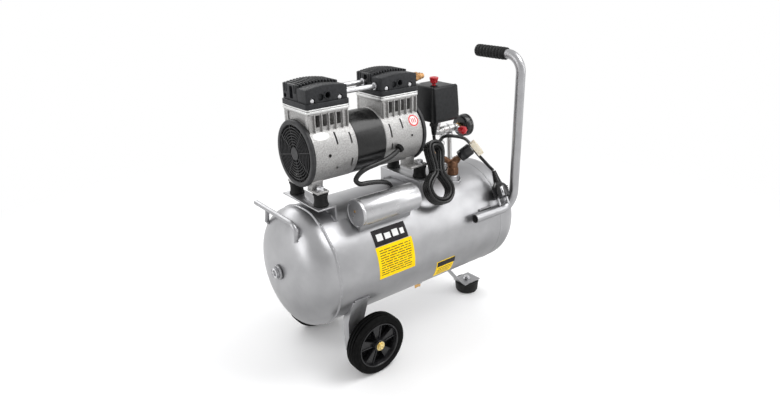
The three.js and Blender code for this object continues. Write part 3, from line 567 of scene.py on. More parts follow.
def make_cord():
    """The whole mains lead as one curve, from the gland through the hank to the plug."""
    start = [mm(*p) for p in START_ROUTE]
    run = [mm(*p) for p in RUN_ROUTE]
    turns = hank_route()
    line = smooth_line([*start, *turns, *run], 6)
    length = sum((b - a).length for a, b in zip(line, line[1:]))
    curve = bpy.data.curves.new("mains_lead", "CURVE")
    curve.dimensions = "3D"
    curve.bevel_depth = CORD_DIAMETER / 2
    curve.bevel_resolution = 5
    curve.use_fill_caps = True
    spline = curve.splines.new("POLY")
    spline.points.add(len(line) - 1)
    for point, place in zip(spline.points, line):
        point.co = (*place, 1)
    lead = bpy.data.objects.new("mains_lead", curve)
    bpy.context.collection.objects.link(lead)
    curve.materials.append(JACKET)
    add(lead, "frame", "cord_jacket", "cord_start", "cord_run", "cord_hank")
    return lead, line, length


def make_tie():
    """A twisted wire tie wound twice round the hank's waist, with its two ends standing out."""
    points = []
    for i in range(33):
        angle = 4 * math.pi * i / 32
        height = TIE_HEIGHT - 1.6 + 3.2 * i / 32
        points.append(hank_point(17 * math.cos(angle), height, 10.2 * math.sin(angle)))
    band = tube("tie_band", smooth_line(points, 3), 0.0011, JACKET, 10)
    tail = [
        hank_point(17, TIE_HEIGHT, 0), hank_point(20, TIE_HEIGHT + 2, 4), hank_point(21, TIE_HEIGHT + 7, 9)
    ]
    tie = join("hank_tie", [band, tube("tie_tail", smooth_line(tail, 6), 0.0012, JACKET, 10)])
    return add(tie, "frame", "cord_jacket")


PLUG_CENTRE = mm(211, -115, 301)
PLUG_AXIS = Vector((-0.17, -0.6, -0.79)).normalized()


def make_plug():
    """A round moulded plug with a ribbed grip, a segmented strain relief, two pins and side contacts."""
    place = basis(PLUG_AXIS, PLUG_CENTRE)
    profile = [(-47.8, 0), (-47.8, 3.8)]
    for i in range(6):
        x = -47.3 + 4.4 * i
        r = 4.9 + 0.62 * i
        profile += [(x, r), (x + 2.9, r + 0.35), (x + 3.1, r - 1.1), (x + 4.2, r - 0.9)]
    profile += [
        (-20.5, 9.2), (-17.5, 10.4), (-15, 13.6), (-11, 16.4), (-6, 17.8), (8, 17.9), (12.5, 17.4),
        (13.6, 16.4), (13.6, 0),
    ]
    body = turned("plug_body", profile, PLUG_CENTRE, PLUG_AXIS, SHINY_PLASTIC, 48)
    pieces = [body]
    for side in (-1, 1):
        offset = place.to_3x3() @ Vector((side * 0.0095, 0, 0))
        pin = [(11, 0), (11, 2.4), (29.5, 2.4), (31.2, 1.7), (31.8, 0)]
        pieces.append(turned("pin", pin, PLUG_CENTRE + offset, PLUG_AXIS, STEEL, 20))
        sleeve = [(13, 0), (13, 3.3), (14.4, 3.1), (14.4, 0)]
        pieces.append(turned("sleeve", sleeve, PLUG_CENTRE + offset, PLUG_AXIS, PLASTIC, 20))
        clip_place = place @ Matrix.Translation((0, side * 0.0166, -0.006))
        pieces.append(prism("clip", rounded(0.006, 0.0024, 0.0008, 3), clip_place, 0.0202, STEEL, 0.0003))
        for k in range(5):
            rib = place @ Matrix.Translation((side * 0.0166, 0, -0.008 + 0.0042 * k))
            pieces.append(
                prism("rib", rounded(0.003, 0.017, 0.0012, 3), rib, 0.0018, SHINY_PLASTIC, 0.0003)
            )
    plug = join("plug", pieces)
    return add(plug, "frame", "black_plastic", "mains_plug")


def make_gland():
    """The gland under the pressure switch and its ribbed bend relief."""
    top = Vector((Box("cord_gland").mid.x, Box("cord_gland").mid.y, Box("cord_gland").hi.z))
    nut = hexagon("gland_nut", top, top - Z * 0.007, 0.0165, PLASTIC)
    profile = [(5, 0), (5, 7)]
    for i in range(6):
        r = 7 - 0.42 * i
        profile += [(7 + 3 * i, r), (9.2 + 3 * i, r - 0.2), (9.5 + 3 * i, r - 1), (10 + 3 * i, r - 1)]
    profile += [(25.8, 4.3), (25.8, 0)]
    relief = turned("relief", profile, top, -Z, PLASTIC, 32)
    return add(join("gland", [nut, relief]), "frame", "black_plastic", "cord_gland")


lead, lead_line, lead_length = make_cord()
hank_tie = make_tie()
plug = make_plug()
gland = make_gland()

# ---- Tank ----------------------------------------------------------------------------------------
TANK = Box("tank_shell")
TANK_AXIS_Z = Box("front_bung").mid.z - 0.004
TANK_RADIUS = 0.12
DOME_HEIGHT = 0.056
DOME_POWER = 0.82
TANK_FRONT, TANK_REAR = TANK.lo.x + DOME_HEIGHT, TANK.hi.x - DOME_HEIGHT
SEAMS = (TANK_FRONT + 0.004, TANK_REAR - 0.018)
RISER_X = 0.168
VALVE_X, VALVE_Y = 0.134, -0.044
BUNG_WELD_RADIUS = 0.0122


def dome_points(start, towards, steps=36):
    """Half of a dome's outline: [x, radius] from its rim to its crown."""
    points = []
    for i in range(steps + 1):
        angle = math.pi / 2 * i / steps
        along = DOME_HEIGHT * math.sin(angle) ** DOME_POWER
        radius = TANK_RADIUS * math.cos(angle) ** DOME_POWER if i < steps else 0
        points.append((start + towards * along, radius))
    return points


def on_tank(x, degrees, lift=0.0):
    """A point of the tank's round wall; degrees go from +Y over the top to -Y at 180."""
    angle = math.radians(degrees)
    reach = TANK_RADIUS + lift
    return Vector((x, reach * math.cos(angle), TANK_AXIS_Z + reach * math.sin(angle)))


def weld(name, line, radius, material, seed):
    """A bead of overlapping drops along a line."""
    drops = Random(seed)
    line = smooth_line(line, 8) if len(line) > 2 else [
        Vector(line[0]).lerp(Vector(line[1]), i / 24) for i in range(25)
    ]
    radii = []
    for i in range(len(line)):
        wave = 0.82 + 0.2 * abs(math.sin(i * 1.1)) + 0.12 * drops.random()
        end = min(i, len(line) - 1 - i)
        radii.append(radius * wave * (0.35 if end == 0 else 0.8 if end == 1 else 1))
    return tube(name, line, radius, material, 10, True, radii)


def seam(name, x, height, width, seed):
    """A circumferential weld with a scalloped, slightly wandering bead."""
    drops = Random(seed)
    verts, faces = [], []
    around, across = 360, 7
    drift = [drops.uniform(-1, 1) for _ in range(24)]
    for i in range(around):
        angle = 2 * math.pi * i / around
        at = i / around * 24
        low = drift[int(at) % 24]
        high = drift[(int(at) + 1) % 24]
        shift = (low + (high - low) * (at % 1)) * width * 0.2
        swell = 0.75 + 0.25 * abs(math.sin(i * math.pi / 4)) + drops.uniform(-0.06, 0.06)
        for k in range(across):
            u = -1 + 2 * k / (across - 1)
            r = TANK_RADIUS - 0.0002 + height * swell * (1 - u * u)
            verts.append(
                (x + shift + u * width / 2, r * math.cos(angle), TANK_AXIS_Z + r * math.sin(angle))
            )
    for i in range(around):
        j = (i + 1) % around
        for k in range(across):
            n = (k + 1) % across
            faces.append([i * across + k, j * across + k, j * across + n, i * across + n])
    return new_object(name, verts, faces, SILVER, 60)


def boss(name, x, y, low, high, radius):
    """An upright round boss with a wider foot."""
    start = Vector((x, y, low))
    profile = [
        (0, 0), (0, radius + 0.003), (0.004, radius), (high - low - 0.0015, radius),
        (high - low, radius - 0.0015), (high - low, 0),
    ]
    return lathe(name, profile, start, Z, SILVER, 48)


def make_tank():
    """The shell with its welds and bosses, and the bung in its front dome."""
    wall = [(TANK_FRONT + (TANK_REAR - TANK_FRONT) * i / 12, TANK_RADIUS) for i in range(1, 12)]
    profile = [*reversed(dome_points(TANK_FRONT, -1)), *wall, *dome_points(TANK_REAR, 1)]
    shell = lathe("shell", profile, Vector((0, 0, TANK_AXIS_Z)), X, SILVER, 160)
    bung = Box("front_bung")
    pieces = [
        shell, seam("seam_front", SEAMS[0], 0.0030, 0.0068, 3),
        seam("seam_rear", SEAMS[1], 0.0011, 0.0042, 5),
    ]
    drain_top = TANK_AXIS_Z - TANK_RADIUS + 0.006
    pieces.append(boss("drain_boss", Box("drain_screw").mid.x, 0, TANK.lo.z, drain_top, 0.0075))
    riser_low, valve_low = Box("riser_tube").lo.z - 0.0006, Box("check_valve").lo.z - 0.0003
    pieces.append(boss("riser_boss", RISER_X, 0, TANK_AXIS_Z + TANK_RADIUS - 0.006, riser_low, 0.0115))
    pieces.append(boss("valve_boss", VALVE_X, VALVE_Y, TANK_AXIS_Z + 0.102, valve_low, 0.0145))
    for x, y, z, r in ((RISER_X, 0, 0.1195, 0.0135), (VALVE_X, VALVE_Y, 0.111, 0.017)):
        slope = Vector((0, y, z)).normalized()
        ring = []
        for i in range(25):
            angle = 2 * math.pi * i / 24
            flat = Vector((x + r * math.cos(angle), y + r * math.sin(angle), 0))
            flat.z = TANK_AXIS_Z + math.sqrt(TANK_RADIUS**2 - flat.y**2)
            ring.append(flat + slope * 0.0004)
        pieces.append(weld("boss_weld", ring, 0.0021, SILVER, 11))
    collar = bung.lo.x + 0.0085
    turns = [2 * math.pi * i / 20 for i in range(21)]
    ring = [
        Vector((collar, BUNG_WELD_RADIUS * math.cos(a), bung.mid.z + BUNG_WELD_RADIUS * math.sin(a)))
        for a in turns
    ]
    pieces.append(weld("bung_weld", ring, 0.0028, SILVER, 12))
    add(join("tank", pieces), "frame", "silver_paint", "tank_shell")

    profile = [(0.0188, 0), (0.0188, 0.0102)]
    for i in range(4):
        x = 0.0085 - 0.0024 * i
        profile += [(x, 0.0107), (x - 0.0011, 0.0107), (x - 0.0014, 0.0094), (x - 0.0021, 0.0094)]
    profile += [(0.0006, 0.0100), (0, 0.0092), (0, 0.0064), (0.0012, 0.0058), (0.009, 0.0058), (0.009, 0)]
    start = Vector((bung.lo.x, 0, bung.mid.z))
    add(lathe("bung", profile, start, X, STEEL, 48, 30), "frame", "steel", "front_bung")


def wall_patch(name, x0, x1, a0, a1, lift, material, slant=0.0, across=24, along=6):
    """A thin sticker that follows the tank's wall, with a real thickness."""
    verts, faces = [], []
    for layer in (0.00002, lift):
        for i in range(along + 1):
            for k in range(across + 1):
                angle = a0 + (a1 - a0) * k / across
                x = x0 + (x1 - x0) * i / along + slant * (k / across - 0.5)
                verts.append(on_tank(x, angle, layer))
    row = across + 1
    size = (along + 1) * row
    for i in range(along):
        for k in range(across):
            quad = [i * row + k, i * row + k + 1, (i + 1) * row + k + 1, (i + 1) * row + k]
            faces += [quad, [v + size for v in quad[::-1]]]
    edge = [k for k in range(row)] + [i * row + across for i in range(1, along + 1)]
    edge += [along * row + k for k in range(across - 1, -1, -1)] + [
        i * row for i in range(along - 1, 0, -1)
    ]
    for a, b in zip(edge, edge[1:] + edge[:1]):
        faces.append([a, b, b + size, a + size])
    return new_object(name, verts, faces, material, 30)


LABEL_YELLOW = finish(
    "label_yellow", (0.94, 0.61, 0.0), (0.98, 0.68, 0.002), (0.3, 0.42), 0, 60, 0.05, 900, 0.12
)
LABEL_BLACK = finish(
    "label_black", (0.012, 0.01, 0.011), (0.02, 0.018, 0.02), (0.3, 0.4), 0, 60, 0.05, 900, 0.15
)
LABEL_WHITE = finish("label_white", (0.8, 0.8, 0.79), (0.86, 0.86, 0.85), (0.35, 0.45), 0, 60, 0.05, 900)
LABEL_RED = finish("label_red", (0.6, 0.01, 0.015), (0.7, 0.02, 0.025), (0.32, 0.42), 0, 60, 0.05, 900)


# Panels on the tank's wall: [first x, last x, first degree, last degree].
BAND, PANEL = (-0.129, -0.048, 141, 156.6), (-0.129, -0.040, 157, 188.4)
SMALL_PANEL, SMALL_BAND = (0.030, 0.080, 196, 221), (0.029, 0.079, 196.8, 204)
BLOCKS = ((-0.121, -0.107), (-0.102, -0.088), (-0.083, -0.069), (-0.064, -0.055))
LABEL_LIFT, MARK_LIFT = 0.0003, 0.00042


def make_labels():
    """Plain panels with neutral lines, without lettering or signs."""
    lines = Random(21)
    pieces = [
        wall_patch("band", *BAND, LABEL_LIFT, LABEL_BLACK),
        wall_patch("panel", *PANEL, LABEL_LIFT, LABEL_YELLOW, 0.003),
    ]
    for k, (x0, x1) in enumerate(BLOCKS):
        pieces.append(wall_patch("bar", x0, x1, 145.5 + k % 2, 152, MARK_LIFT, LABEL_WHITE, 0, 4, 2))
    for row in range(11):
        angle = 160.5 + 2.35 * row
        x = -0.123
        while x < -0.050:
            end = min(x + lines.uniform(0.006, 0.02), -0.047)
            pieces.append(wall_patch("line", x, end, angle, angle + 0.75, MARK_LIFT, LABEL_BLACK, 0, 2, 2))
            x = end + 0.0024
    add(join("tank_label", pieces), "frame", "silver_paint")
    small = [wall_patch("small", *SMALL_PANEL, LABEL_LIFT, LABEL_YELLOW, 0.010)]
    small.append(wall_patch("small_band", *SMALL_BAND, MARK_LIFT, LABEL_BLACK, 0.003, 6, 4))
    for row in range(4):
        angle = 207 + 3.2 * row
        x = 0.036 + 0.0008 * row
        small.append(
            wall_patch("small_line", x, 0.075, angle, angle + 0.9, MARK_LIFT, LABEL_BLACK, 0, 2, 4)
        )
    add(join("small_label", small), "frame", "silver_paint")


def make_drain():
    """The drain screw with its two wings."""
    screw = Box("drain_screw")
    top = Vector((screw.mid.x, 0, screw.hi.z))
    shoulder = screw.size.z - 0.0132
    profile = [
        (0, 0), (0, 0.0044), (shoulder - 0.0002, 0.0044), (shoulder, 0.0068), (shoulder + 0.005, 0.0068)
    ]
    profile += [(shoulder + 0.0058, 0.006), (shoulder + 0.0058, 0)]
    stem = lathe("stem", profile, top, -Z, BRASS, 32)
    wing_outline = [
        (-0.0089, 0.0104), (-0.0075, 0), (-0.003, 0.0015), (0.003, 0.0015), (0.0075, 0), (0.0089, 0.0104),
        (0.003, 0.0118), (-0.003, 0.0118),
    ]
    wings = prism(
        "wings", wing_outline, along_y((screw.mid.x, 0.0018, screw.lo.z)), 0.0036, BRASS, 0.0009, 3
    )
    add(join("drain_tap", [stem, wings]), "drain_screw", "brass", "drain_screw")


make_tank()
make_labels()
make_drain()


# ---- Handles -------------------------------------------------------------------------------------
def make_carry_handle():
    """The bent bar with its strut, welded to the front dome."""
    base = Vector((-0.262, 0, TANK_AXIS_Z))
    bar = bent_line([base + mm(*p) for p in ((2, -44, 76), (0, -50.5, 111), (0, 104, 111.6))], 0.017, 10)
    pieces = [tube("bar", bar, 0.0049, SILVER, 24)]
    strut = [base + mm(0, 58, 109), base + mm(2.5, 66, 92), base + mm(4, 71, 80)]
    pieces.append(tube("strut", smooth_line(strut, 6), 0.0043, SILVER, 20))
    for foot, along in (
        (base + mm(2.2, -44.5, 79.5), mm(1, 0.5, -3)), (base + mm(4, 71, 80), mm(1, 1.5, -2))
    ):
        for shift, radius in ((-0.0035, 0.0034), (0.0035, 0.0034), (0, 0.0028)):
            side = Vector((0.15, 1, 0)).normalized() * shift
            line = [foot + side - along * 0.9, foot + side * 1.25, foot + side * 1.1 + along * 1.1]
            pieces.append(weld("weld", line, radius, SILVER, int(31 + shift * 1000)))
    add(join("front_handle", pieces), "frame", "silver_paint", "carry_handle")


def make_pull_handle():
    """The bent tube with its open lower end, and the ribbed grip."""
    tube_box = Box("pull_handle")
    radius = 0.01
    low, top = tube_box.lo.z + radius, tube_box.hi.z - radius
    x, y = tube_box.hi.x - radius, tube_box.lo.y + radius
    points = [
        Vector((tube_box.lo.x, y, low)), Vector((x, y, low)), Vector((x, y, top)),
        Vector((x, y + 0.11, top)),
    ]
    bar = tube("pull_bar", bent_line(points, 0.036, 16), radius, SILVER, 40)
    mouth = rod("mouth", points[0] - X * 0.01, points[0] + X * 0.05, radius - 0.0015, PLASTIC, 0.0002, 40)
    boolean(bar, mouth)
    finish_mesh(bar, SILVER)
    pieces = [bar]
    for k, height in enumerate((-0.0065, 0.0075)):
        line = [Vector((0.150 + 0.0028 * i, -0.1175, low + height)) for i in range(14)]
        for p in line:
            p.y = -math.sqrt(TANK_RADIUS**2 - (p.z - TANK_AXIS_Z) ** 2) - 0.0012
        pieces.append(weld("handle_weld", line, 0.0026, SILVER, 41 + k))
    add(join("pull_tube", pieces), "frame", "silver_paint", "pull_handle")

    grip = Box("handle_grip")
    length = grip.size.y
    profile = [(0, 0.0101), (0, 0.0118), (0.0012, 0.0128), (0.004, 0.0128)]
    ribs = 8
    pitch = (length - 0.013) / ribs
    for i in range(ribs):
        for k in range(1, 9):
            u = k / 8
            profile.append((0.005 + pitch * (i + u), 0.0119 + 0.0014 * math.sin(math.pi * u) ** 0.6))
    profile += [
        (length - 0.0075, 0.0131), (length - 0.003, 0.0127), (length - 0.0008, 0.0105), (length, 0.007),
        (length, 0),
    ]
    sleeve = lathe("grip_sleeve", profile, Vector((x, grip.lo.y, top)), Y, RUBBER, 48, 50)
    add(sleeve, "frame", "rubber", "handle_grip")


make_carry_handle()
make_pull_handle()


# ---- Wheels, legs and foot -----------------------------------------------------------------------
RIM_BLACK = finish(
    "rim_black", (0.009, 0.009, 0.010), (0.016, 0.016, 0.017), (0.14, 0.24), 0, 90, 0.06, 1400, 0.35
)


WHEEL_SPOKES = 5
TREAD_GROOVES = (-7.2, 0, 7.2)  # millimetres from the tyre's middle


def make_wheel(side, label):
    """side is -1 for the near wheel; axles run along Y and the outer face looks away from the tank."""
    tyre = Box("tyre_" + label)
    centre, out = tyre.mid, Y * side
    half = tyre.size.y / 2 * 1000
    r = tyre.size.z / 2 * 1000
    profile = [
        (-half + 2, 47.4), (-half + 0.4, 49), (-half, 51), (-half, 54), (-half + 0.8, 54.6),
        (-half + 0.8, 57),
    ]
    profile += [(-half + 1.2, 60.4), (-half + 2.8, 62.8)]
    for g in TREAD_GROOVES:
        edge = r - 0.35 - abs(g) * 0.05
        profile += [(g - 2.9, edge), (g - 1.5, edge), (g - 1.1, r - 3), (g + 1.1, r - 3), (g + 1.5, edge)]
        profile.append((g + 2.9, edge + 0.1))
    profile += [
        (half - 2.8, 62.8), (half - 1.2, 60.4), (half - 0.8, 57), (half - 0.8, 54.6), (half, 54), (half, 51)
    ]
    profile += [(half - 0.4, 49), (half - 2, 47.4), (-half + 2, 47.4)]
    tyre_piece = turned("tyre_" + label + "_skin", profile, centre, out, TYRE, 120, 32)
    add(tyre_piece, "wheel_" + label, "tyre_rubber", "tyre_" + label)

    inner = half - 0.5
    barrel = [
        (-inner, 47), (-inner, 43.8), (-inner + 1.4, 42.6), (-4, 41.4), (4, 41.4), (inner - 6, 42.2),
        (inner - 4.6, 43.2),
    ]
    barrel += [(inner - 1.4, 43.6), (inner, 44.6), (inner, 47), (-inner, 47)]
    pieces = [turned("barrel", barrel, centre, out, RIM_BLACK, 96, 32)]
    hub = [
        (-15, 12), (-15, 5.4), (15, 5.4), (15, 11), (14, 12), (6, 13.6), (-6, 13.6), (-14, 12), (-15, 12)
    ]
    pieces.append(turned("hub", hub, centre, out, RIM_BLACK, 48, 32))
    web = [(-9, 5.4), (-9, 43), (-8, 43.4), (-6.4, 43), (-6, 5.4), (-9, 5.4)]
    pieces.append(turned("web", web, centre, out, RIM_BLACK, 96, 32))
    place = basis(out, centre)
    for i in range(WHEEL_SPOKES):
        turn = Matrix.Rotation(2 * math.pi * i / WHEEL_SPOKES + 0.35, 4, "Z")
        blade = [
            (0.0115, -0.0052), (0.030, -0.0072), (0.0425, -0.0125), (0.0425, 0.0125), (0.030, 0.0072),
            (0.0115, 0.0052),
        ]
        at = place @ turn @ Matrix.Translation((0, 0, -0.002))
        pieces.append(prism("spoke", blade, at, 0.0095, RIM_BLACK, 0.0014, 3))
        for edge in (-1, 1):
            root, tip = edge * 0.0036, edge * 0.0102
            rib = [
                (0.012, root - 0.0011), (0.042, tip - 0.0011), (0.042, tip + 0.0011), (0.012, root + 0.0011)
            ]
            pieces.append(
                prism("rib", rib, at @ Matrix.Translation((0, 0, 0.009)), 0.0022, RIM_BLACK, 0.0005)
            )
    add(join("rim_" + label, pieces), "wheel_" + label, "black_plastic", "wheel_rim_" + label)

    axle = Box("axle_bolt_" + label)
    outer = axle.hi.y if side > 0 else axle.lo.y
    start = Vector((centre.x, outer, centre.z))
    base = centre + out * 0.0153
    depth = (start - base).length
    profile = [(0, 0), (0, 0.0092), (0.0004, 0.0096), (0.0014, 0.0096), (0.0017, 0.0092), (0.0017, 0)]
    disc = lathe("washer", profile, base, out, YELLOW_ZINC, 40)
    nut = hexagon("nut", base + out * 0.0017, base + out * (depth - 0.001), 0.0128, YELLOW_ZINC)
    profile = [(0, 0), (0, 0.0038), (depth - 0.0006, 0.0038), (depth, 0.0032)]
    profile += [(depth - 0.0012, 0.0024), (depth - 0.0012, 0)]
    stub = lathe("stub", profile, base, out, YELLOW_ZINC, 24)
    inside = axle.lo.y if side > 0 else axle.hi.y
    tail = Vector((centre.x, inside, centre.z))
    shank = rod("shank", tail, base, 0.0049, YELLOW_ZINC)
    head = hexagon("head", tail, tail + out * 0.0062, 0.0145, YELLOW_ZINC)
    add(join("axle_" + label, [disc, nut, stub, shank, head]), "frame", "yellow_zinc", "axle_bolt_" + label)


def refined(name, node, material, width=0.0006, segments=2):
    """A finer copy of a CAD node: its flat faces are joined and its edges rounded."""
    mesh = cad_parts[node].data.copy()
    obj = bpy.data.objects.new(name, mesh)
    bpy.context.collection.objects.link(obj)
    work = bmesh.new()
    work.from_mesh(mesh)
    bmesh.ops.remove_doubles(work, verts=work.verts, dist=1e-6)
    bmesh.ops.dissolve_limit(work, angle_limit=math.radians(1), verts=work.verts, edges=work.edges)
    work.to_mesh(mesh)
    work.free()
    mesh.materials.clear()
    mesh.materials.append(material)
    if width:
        round_edges(obj, width, segments)
    return obj


def make_legs_and_foot():
    """The two folded legs, the strap leg, and the rubber foot with its bolt."""
    for label, side, seed in (("near", -1, 51), ("far", 1, 52)):
        node = "wheel_leg_" + label
        plate = refined("leg", node, SILVER, 0.0009)
        turn = lambda degrees: 180 + degrees if side < 0 else -degrees
        line = [on_tank(-0.1835 + 0.0015 * i, turn(23.4), 0.0012) for i in range(24)]
        bead = weld("leg_weld", line, 0.0027, SILVER, seed)
        x = Box(node).lo.x + 0.002
        line = [on_tank(x, turn(24 + 2.6 * i), 0.0012) for i in range(6)]
        edge = weld("leg_weld", line, 0.0022, SILVER, seed + 5)
        add(join(node + "_sheet", [plate, bead, edge]), "frame", "silver_paint", node)

    foot = Box("foot_rubber")
    x, y = foot.mid.x, foot.mid.y
    r = foot.size.x / 2 * 1000
    profile = [
        (0, 0), (0, r - 6), (0.8, r - 4.5), (3, r - 3.7), (4.2, r - 3.3), (4.6, r - 2.5), (22, r - 0.7)
    ]
    profile += [(24.6, r - 0.2), (26, r - 0.6), (26.5, r - 1.5), (26.5, 0)]
    rubber = turned("foot_cup", profile, Vector((x, y, 0)), Z, RUBBER, 64, 40)
    add(rubber, "frame", "rubber", "foot_rubber")
    strap = refined("strap", "foot_leg", SILVER, 0.0008)
    pieces = [strap]
    for edge, seed in ((-4.4, 61), (4.4, 62)):
        line = [on_tank(x - 0.122 + 0.0018 * i, 270 + edge, 0.0008) for i in range(20)]
        pieces.append(weld("w", line, 0.0022, SILVER, seed))
    add(join("foot_strap", pieces), "frame", "silver_paint", "foot_leg")
    bolt = Box("foot_bolt")
    base = Vector((x, y, bolt.hi.z - 0.0082))
    nut = hexagon("n", base + Z * 0.0014, base + Z * 0.0062, 0.0125, STEEL)
    shank = thread("t", base - Z * 0.018, base + Z * 0.0082, 0.0038)
    pieces = [washer(base, Z, 8.6, 1.4, 40), nut, shank]
    add(join("foot_fastener", pieces), "frame", "steel", "foot_bolt")


def thread(name, start, end, radius):
    """A threaded stud, drawn with a groove for each turn."""
    pitch = 0.00125
    length = (end - start).length
    count = int(length / pitch)
    profile = [(0, 0), (0, radius * 0.86)]
    for i in range(count):
        profile += [((i + 0.5) * pitch, radius), ((i + 1) * pitch, radius * 0.88)]
    profile += [(length, radius * 0.8), (length, 0)]
    return lathe(name, profile, start, end - start, STEEL, 20, 60)


def washer(base, axis, radius, thickness, sides):
    """A steel washer; its radius and thickness are in millimetres."""
    profile = [(0, 0), (0, radius - 0.4), (0.3, radius), (thickness - 0.3, radius)]
    return turned("w", [*profile, (thickness, radius - 0.4), (thickness, 0)], base, axis, STEEL, sides)


make_wheel(-1, "near")
make_wheel(1, "far")
make_legs_and_foot()


# ---- Motor brackets and rubber mounts ------------------------------------------------------------
MOUNT_HEIGHT = 0.0237
HOUSING_FOOT = 0.005  # thickness of a housing's foot, which stands on the mount


def make_brackets():
    """The two saddles, each with two rubber mounts."""
    for label in ("front", "rear"):
        sheet = refined("sheet", "motor_bracket_" + label, SILVER, 0.0009)
        flange = Box("motor_bracket_" + label)
        x = flange.hi.x - 0.0015 if label == "front" else flange.lo.x + 0.0015
        pieces = [sheet]
        for k, (a, b) in enumerate(((58.5, 66), (114, 121.5), (70, 76), (104, 110))):
            for shift in (-0.0018, 0.0018):
                line = [on_tank(x + shift, a + (b - a) * i / 8, 0.0008) for i in range(9)]
                pieces.append(weld("w", line, 0.0019, SILVER, 71 + k))
        add(join("bracket_" + label, pieces), "frame", "silver_paint", "motor_bracket_" + label)
        for place in ("near", "far"):
            node = "rubber_mount_" + label + "_" + place
            mount = Box(node)
            base = Vector((mount.mid.x, mount.mid.y, flange.hi.z + 0.0003))
            profile = [
                (0, 0), (0, 14), (0.6, 14.5), (2.4, 14.5), (3.4, 13.6), (7, 12.9), (12, 12.6), (17, 12.9)
            ]
            profile += [(20.3, 13.6), (21.3, 14.4), (23.1, 14.4), (23.7, 13.9), (23.7, 0)]
            buffer = turned("b", profile, base, Z, RUBBER, 48, 40)
            nut_base = base + Z * (MOUNT_HEIGHT + 0.0003 + HOUSING_FOOT + 0.0002)
            stud = thread("s", base + Z * MOUNT_HEIGHT, Vector((base.x, base.y, mount.hi.z)), 0.0039)
            lower = thread("s", Vector((base.x, base.y, mount.lo.z)), base, 0.0039)
            top = min(0.0058, mount.hi.z - nut_base.z - 0.0018)
            nut = hexagon("n", nut_base + Z * 0.0015, nut_base + Z * (0.0015 + top), 0.0125, STEEL)
            under = Vector((base.x, base.y, flange.hi.z - 0.0033))
            low_nut = hexagon("n", under, under - Z * 0.0058, 0.0125, STEEL)
            pieces = [buffer, stud, lower, washer(nut_base, Z, 8.8, 1.5, 32), nut, low_nut]
            add(join("mount_" + label + "_" + place, pieces), "frame", "rubber", node)


make_brackets()


# ---- Motor ---------------------------------------------------------------------------------------
MOTOR = Box("stator").mid
HOUSING_RADIUS = 0.06
HEAD_OFFSET = 0.0825
HEAD_LENGTH, HEAD_WIDTH = 0.093, 0.088
STATOR_HALF = 0.033
HOUSING_END = 0.1263
BEARING_WALL = (0.053, 0.061)
HOUSING_BORE, BEARING_HOLE, CYLINDER_BORE = 0.0551, 0.0132, 0.0276
# Slots: [x, first degree, last degree], and holes: [x, degrees, radius], on each housing's near side.
SLOTS = {"front": [(-0.1675, 138, 162), (-0.137, 144, 165), (-0.1376, 191, 210)]}
SLOTS["rear"] = [(-0.044, 145, 172), (-0.044, 182, 196), (-0.0144, 139, 160)]
HOLES = {"front": [(-0.187, 178, 0.0034), (-0.170, 205, 0.0026)], "rear": [(0.006, 176, 0.0026)]}
# Stickers on the housings: [x, degrees].
OVAL, DISC = (-0.196, 142), (0.016, 149)


def motor_place(side):
    """A matrix whose local Z runs out along the motor's axis, local X to +Y or -Y, and local Y up."""
    return Matrix.Translation(MOTOR) @ Matrix(((0, 0, side), (side, 0, 0), (0, 1, 0))).to_4x4()


def arc_block(u, width, a0, a1, r0, r1):
    """A curved block with round ends, for a slot in the housing; degrees as on the tank."""
    verts, faces = [], []
    steps, ends = 14, 5
    outline = []
    turn = math.degrees(width / 2 / HOUSING_RADIUS)
    for k in range(ends + 1):
        b = math.pi * k / ends
        outline.append((math.cos(b) * width / 2, a1 - turn + math.sin(b) * turn))
    for k in range(1, steps):
        outline.append((-width / 2, a1 - turn + (a0 - a1 + 2 * turn) * k / steps))
    for k in range(ends + 1):
        b = math.pi + math.pi * k / ends
        outline.append((math.cos(b) * width / 2, a0 + turn + math.sin(b) * turn))
    for k in range(1, steps):
        outline.append((width / 2, a0 + turn + (a1 - a0 - 2 * turn) * k / steps))
    for r in (r0, r1):
        for w, degrees in outline:
            angle = math.radians(degrees)
            verts.append(MOTOR + Vector((u + w, r * math.cos(angle), r * math.sin(angle))))
    n = len(outline)
    faces = [list(range(n)), list(range(n, 2 * n))[::-1]]
    faces += [[i, (i + 1) % n, (i + 1) % n + n, i + n] for i in range(n)]
    return new_object("slot", verts, faces, CAST)


def drill(start, end, radius, sides=32):
    """A plain round bar to cut with."""
    return rod("t", start, end, radius, CAST, 0.0001, sides)


def hole_tool(u, degrees, radius):
    """A bar that bores the housing's wall."""
    angle = math.radians(degrees)
    out = Vector((0, math.cos(angle), math.sin(angle)))
    start = MOTOR + X * u
    return drill(start + out * 0.05, start + out * 0.07, radius, 24)


def round_patch(name, x, degrees, wide, high, inner, material, lift=0.0004):
    """An oval sticker, or an oval ring, on the housing's wall."""
    verts, faces = [], []
    steps, rings = 48, 5
    centre = math.radians(degrees)
    for layer in (0.00003, lift):
        for k in range(rings + 1):
            share = inner + (1 - inner) * k / rings
            for i in range(steps):
                t = 2 * math.pi * i / steps
                angle = centre + share * high / 2 * math.sin(t) / HOUSING_RADIUS
                r = HOUSING_RADIUS + layer
                across = x + share * wide / 2 * math.cos(t)
                verts.append(Vector((across, MOTOR.y + r * math.cos(angle), MOTOR.z + r * math.sin(angle))))
    size = (rings + 1) * steps
    for i in range(steps):
        j = (i + 1) % steps
        for k in range(rings):
            quad = [k * steps + i, k * steps + j, (k + 1) * steps + j, (k + 1) * steps + i]
            faces += [quad, [v + size for v in quad[::-1]]]
        faces.append(
            [rings * steps + i, rings * steps + j, rings * steps + j + size, rings * steps + i + size]
        )
        if inner > 0:
            faces.append([j, i, i + size, j + size])
    return new_object(name, verts, faces, material, 30)


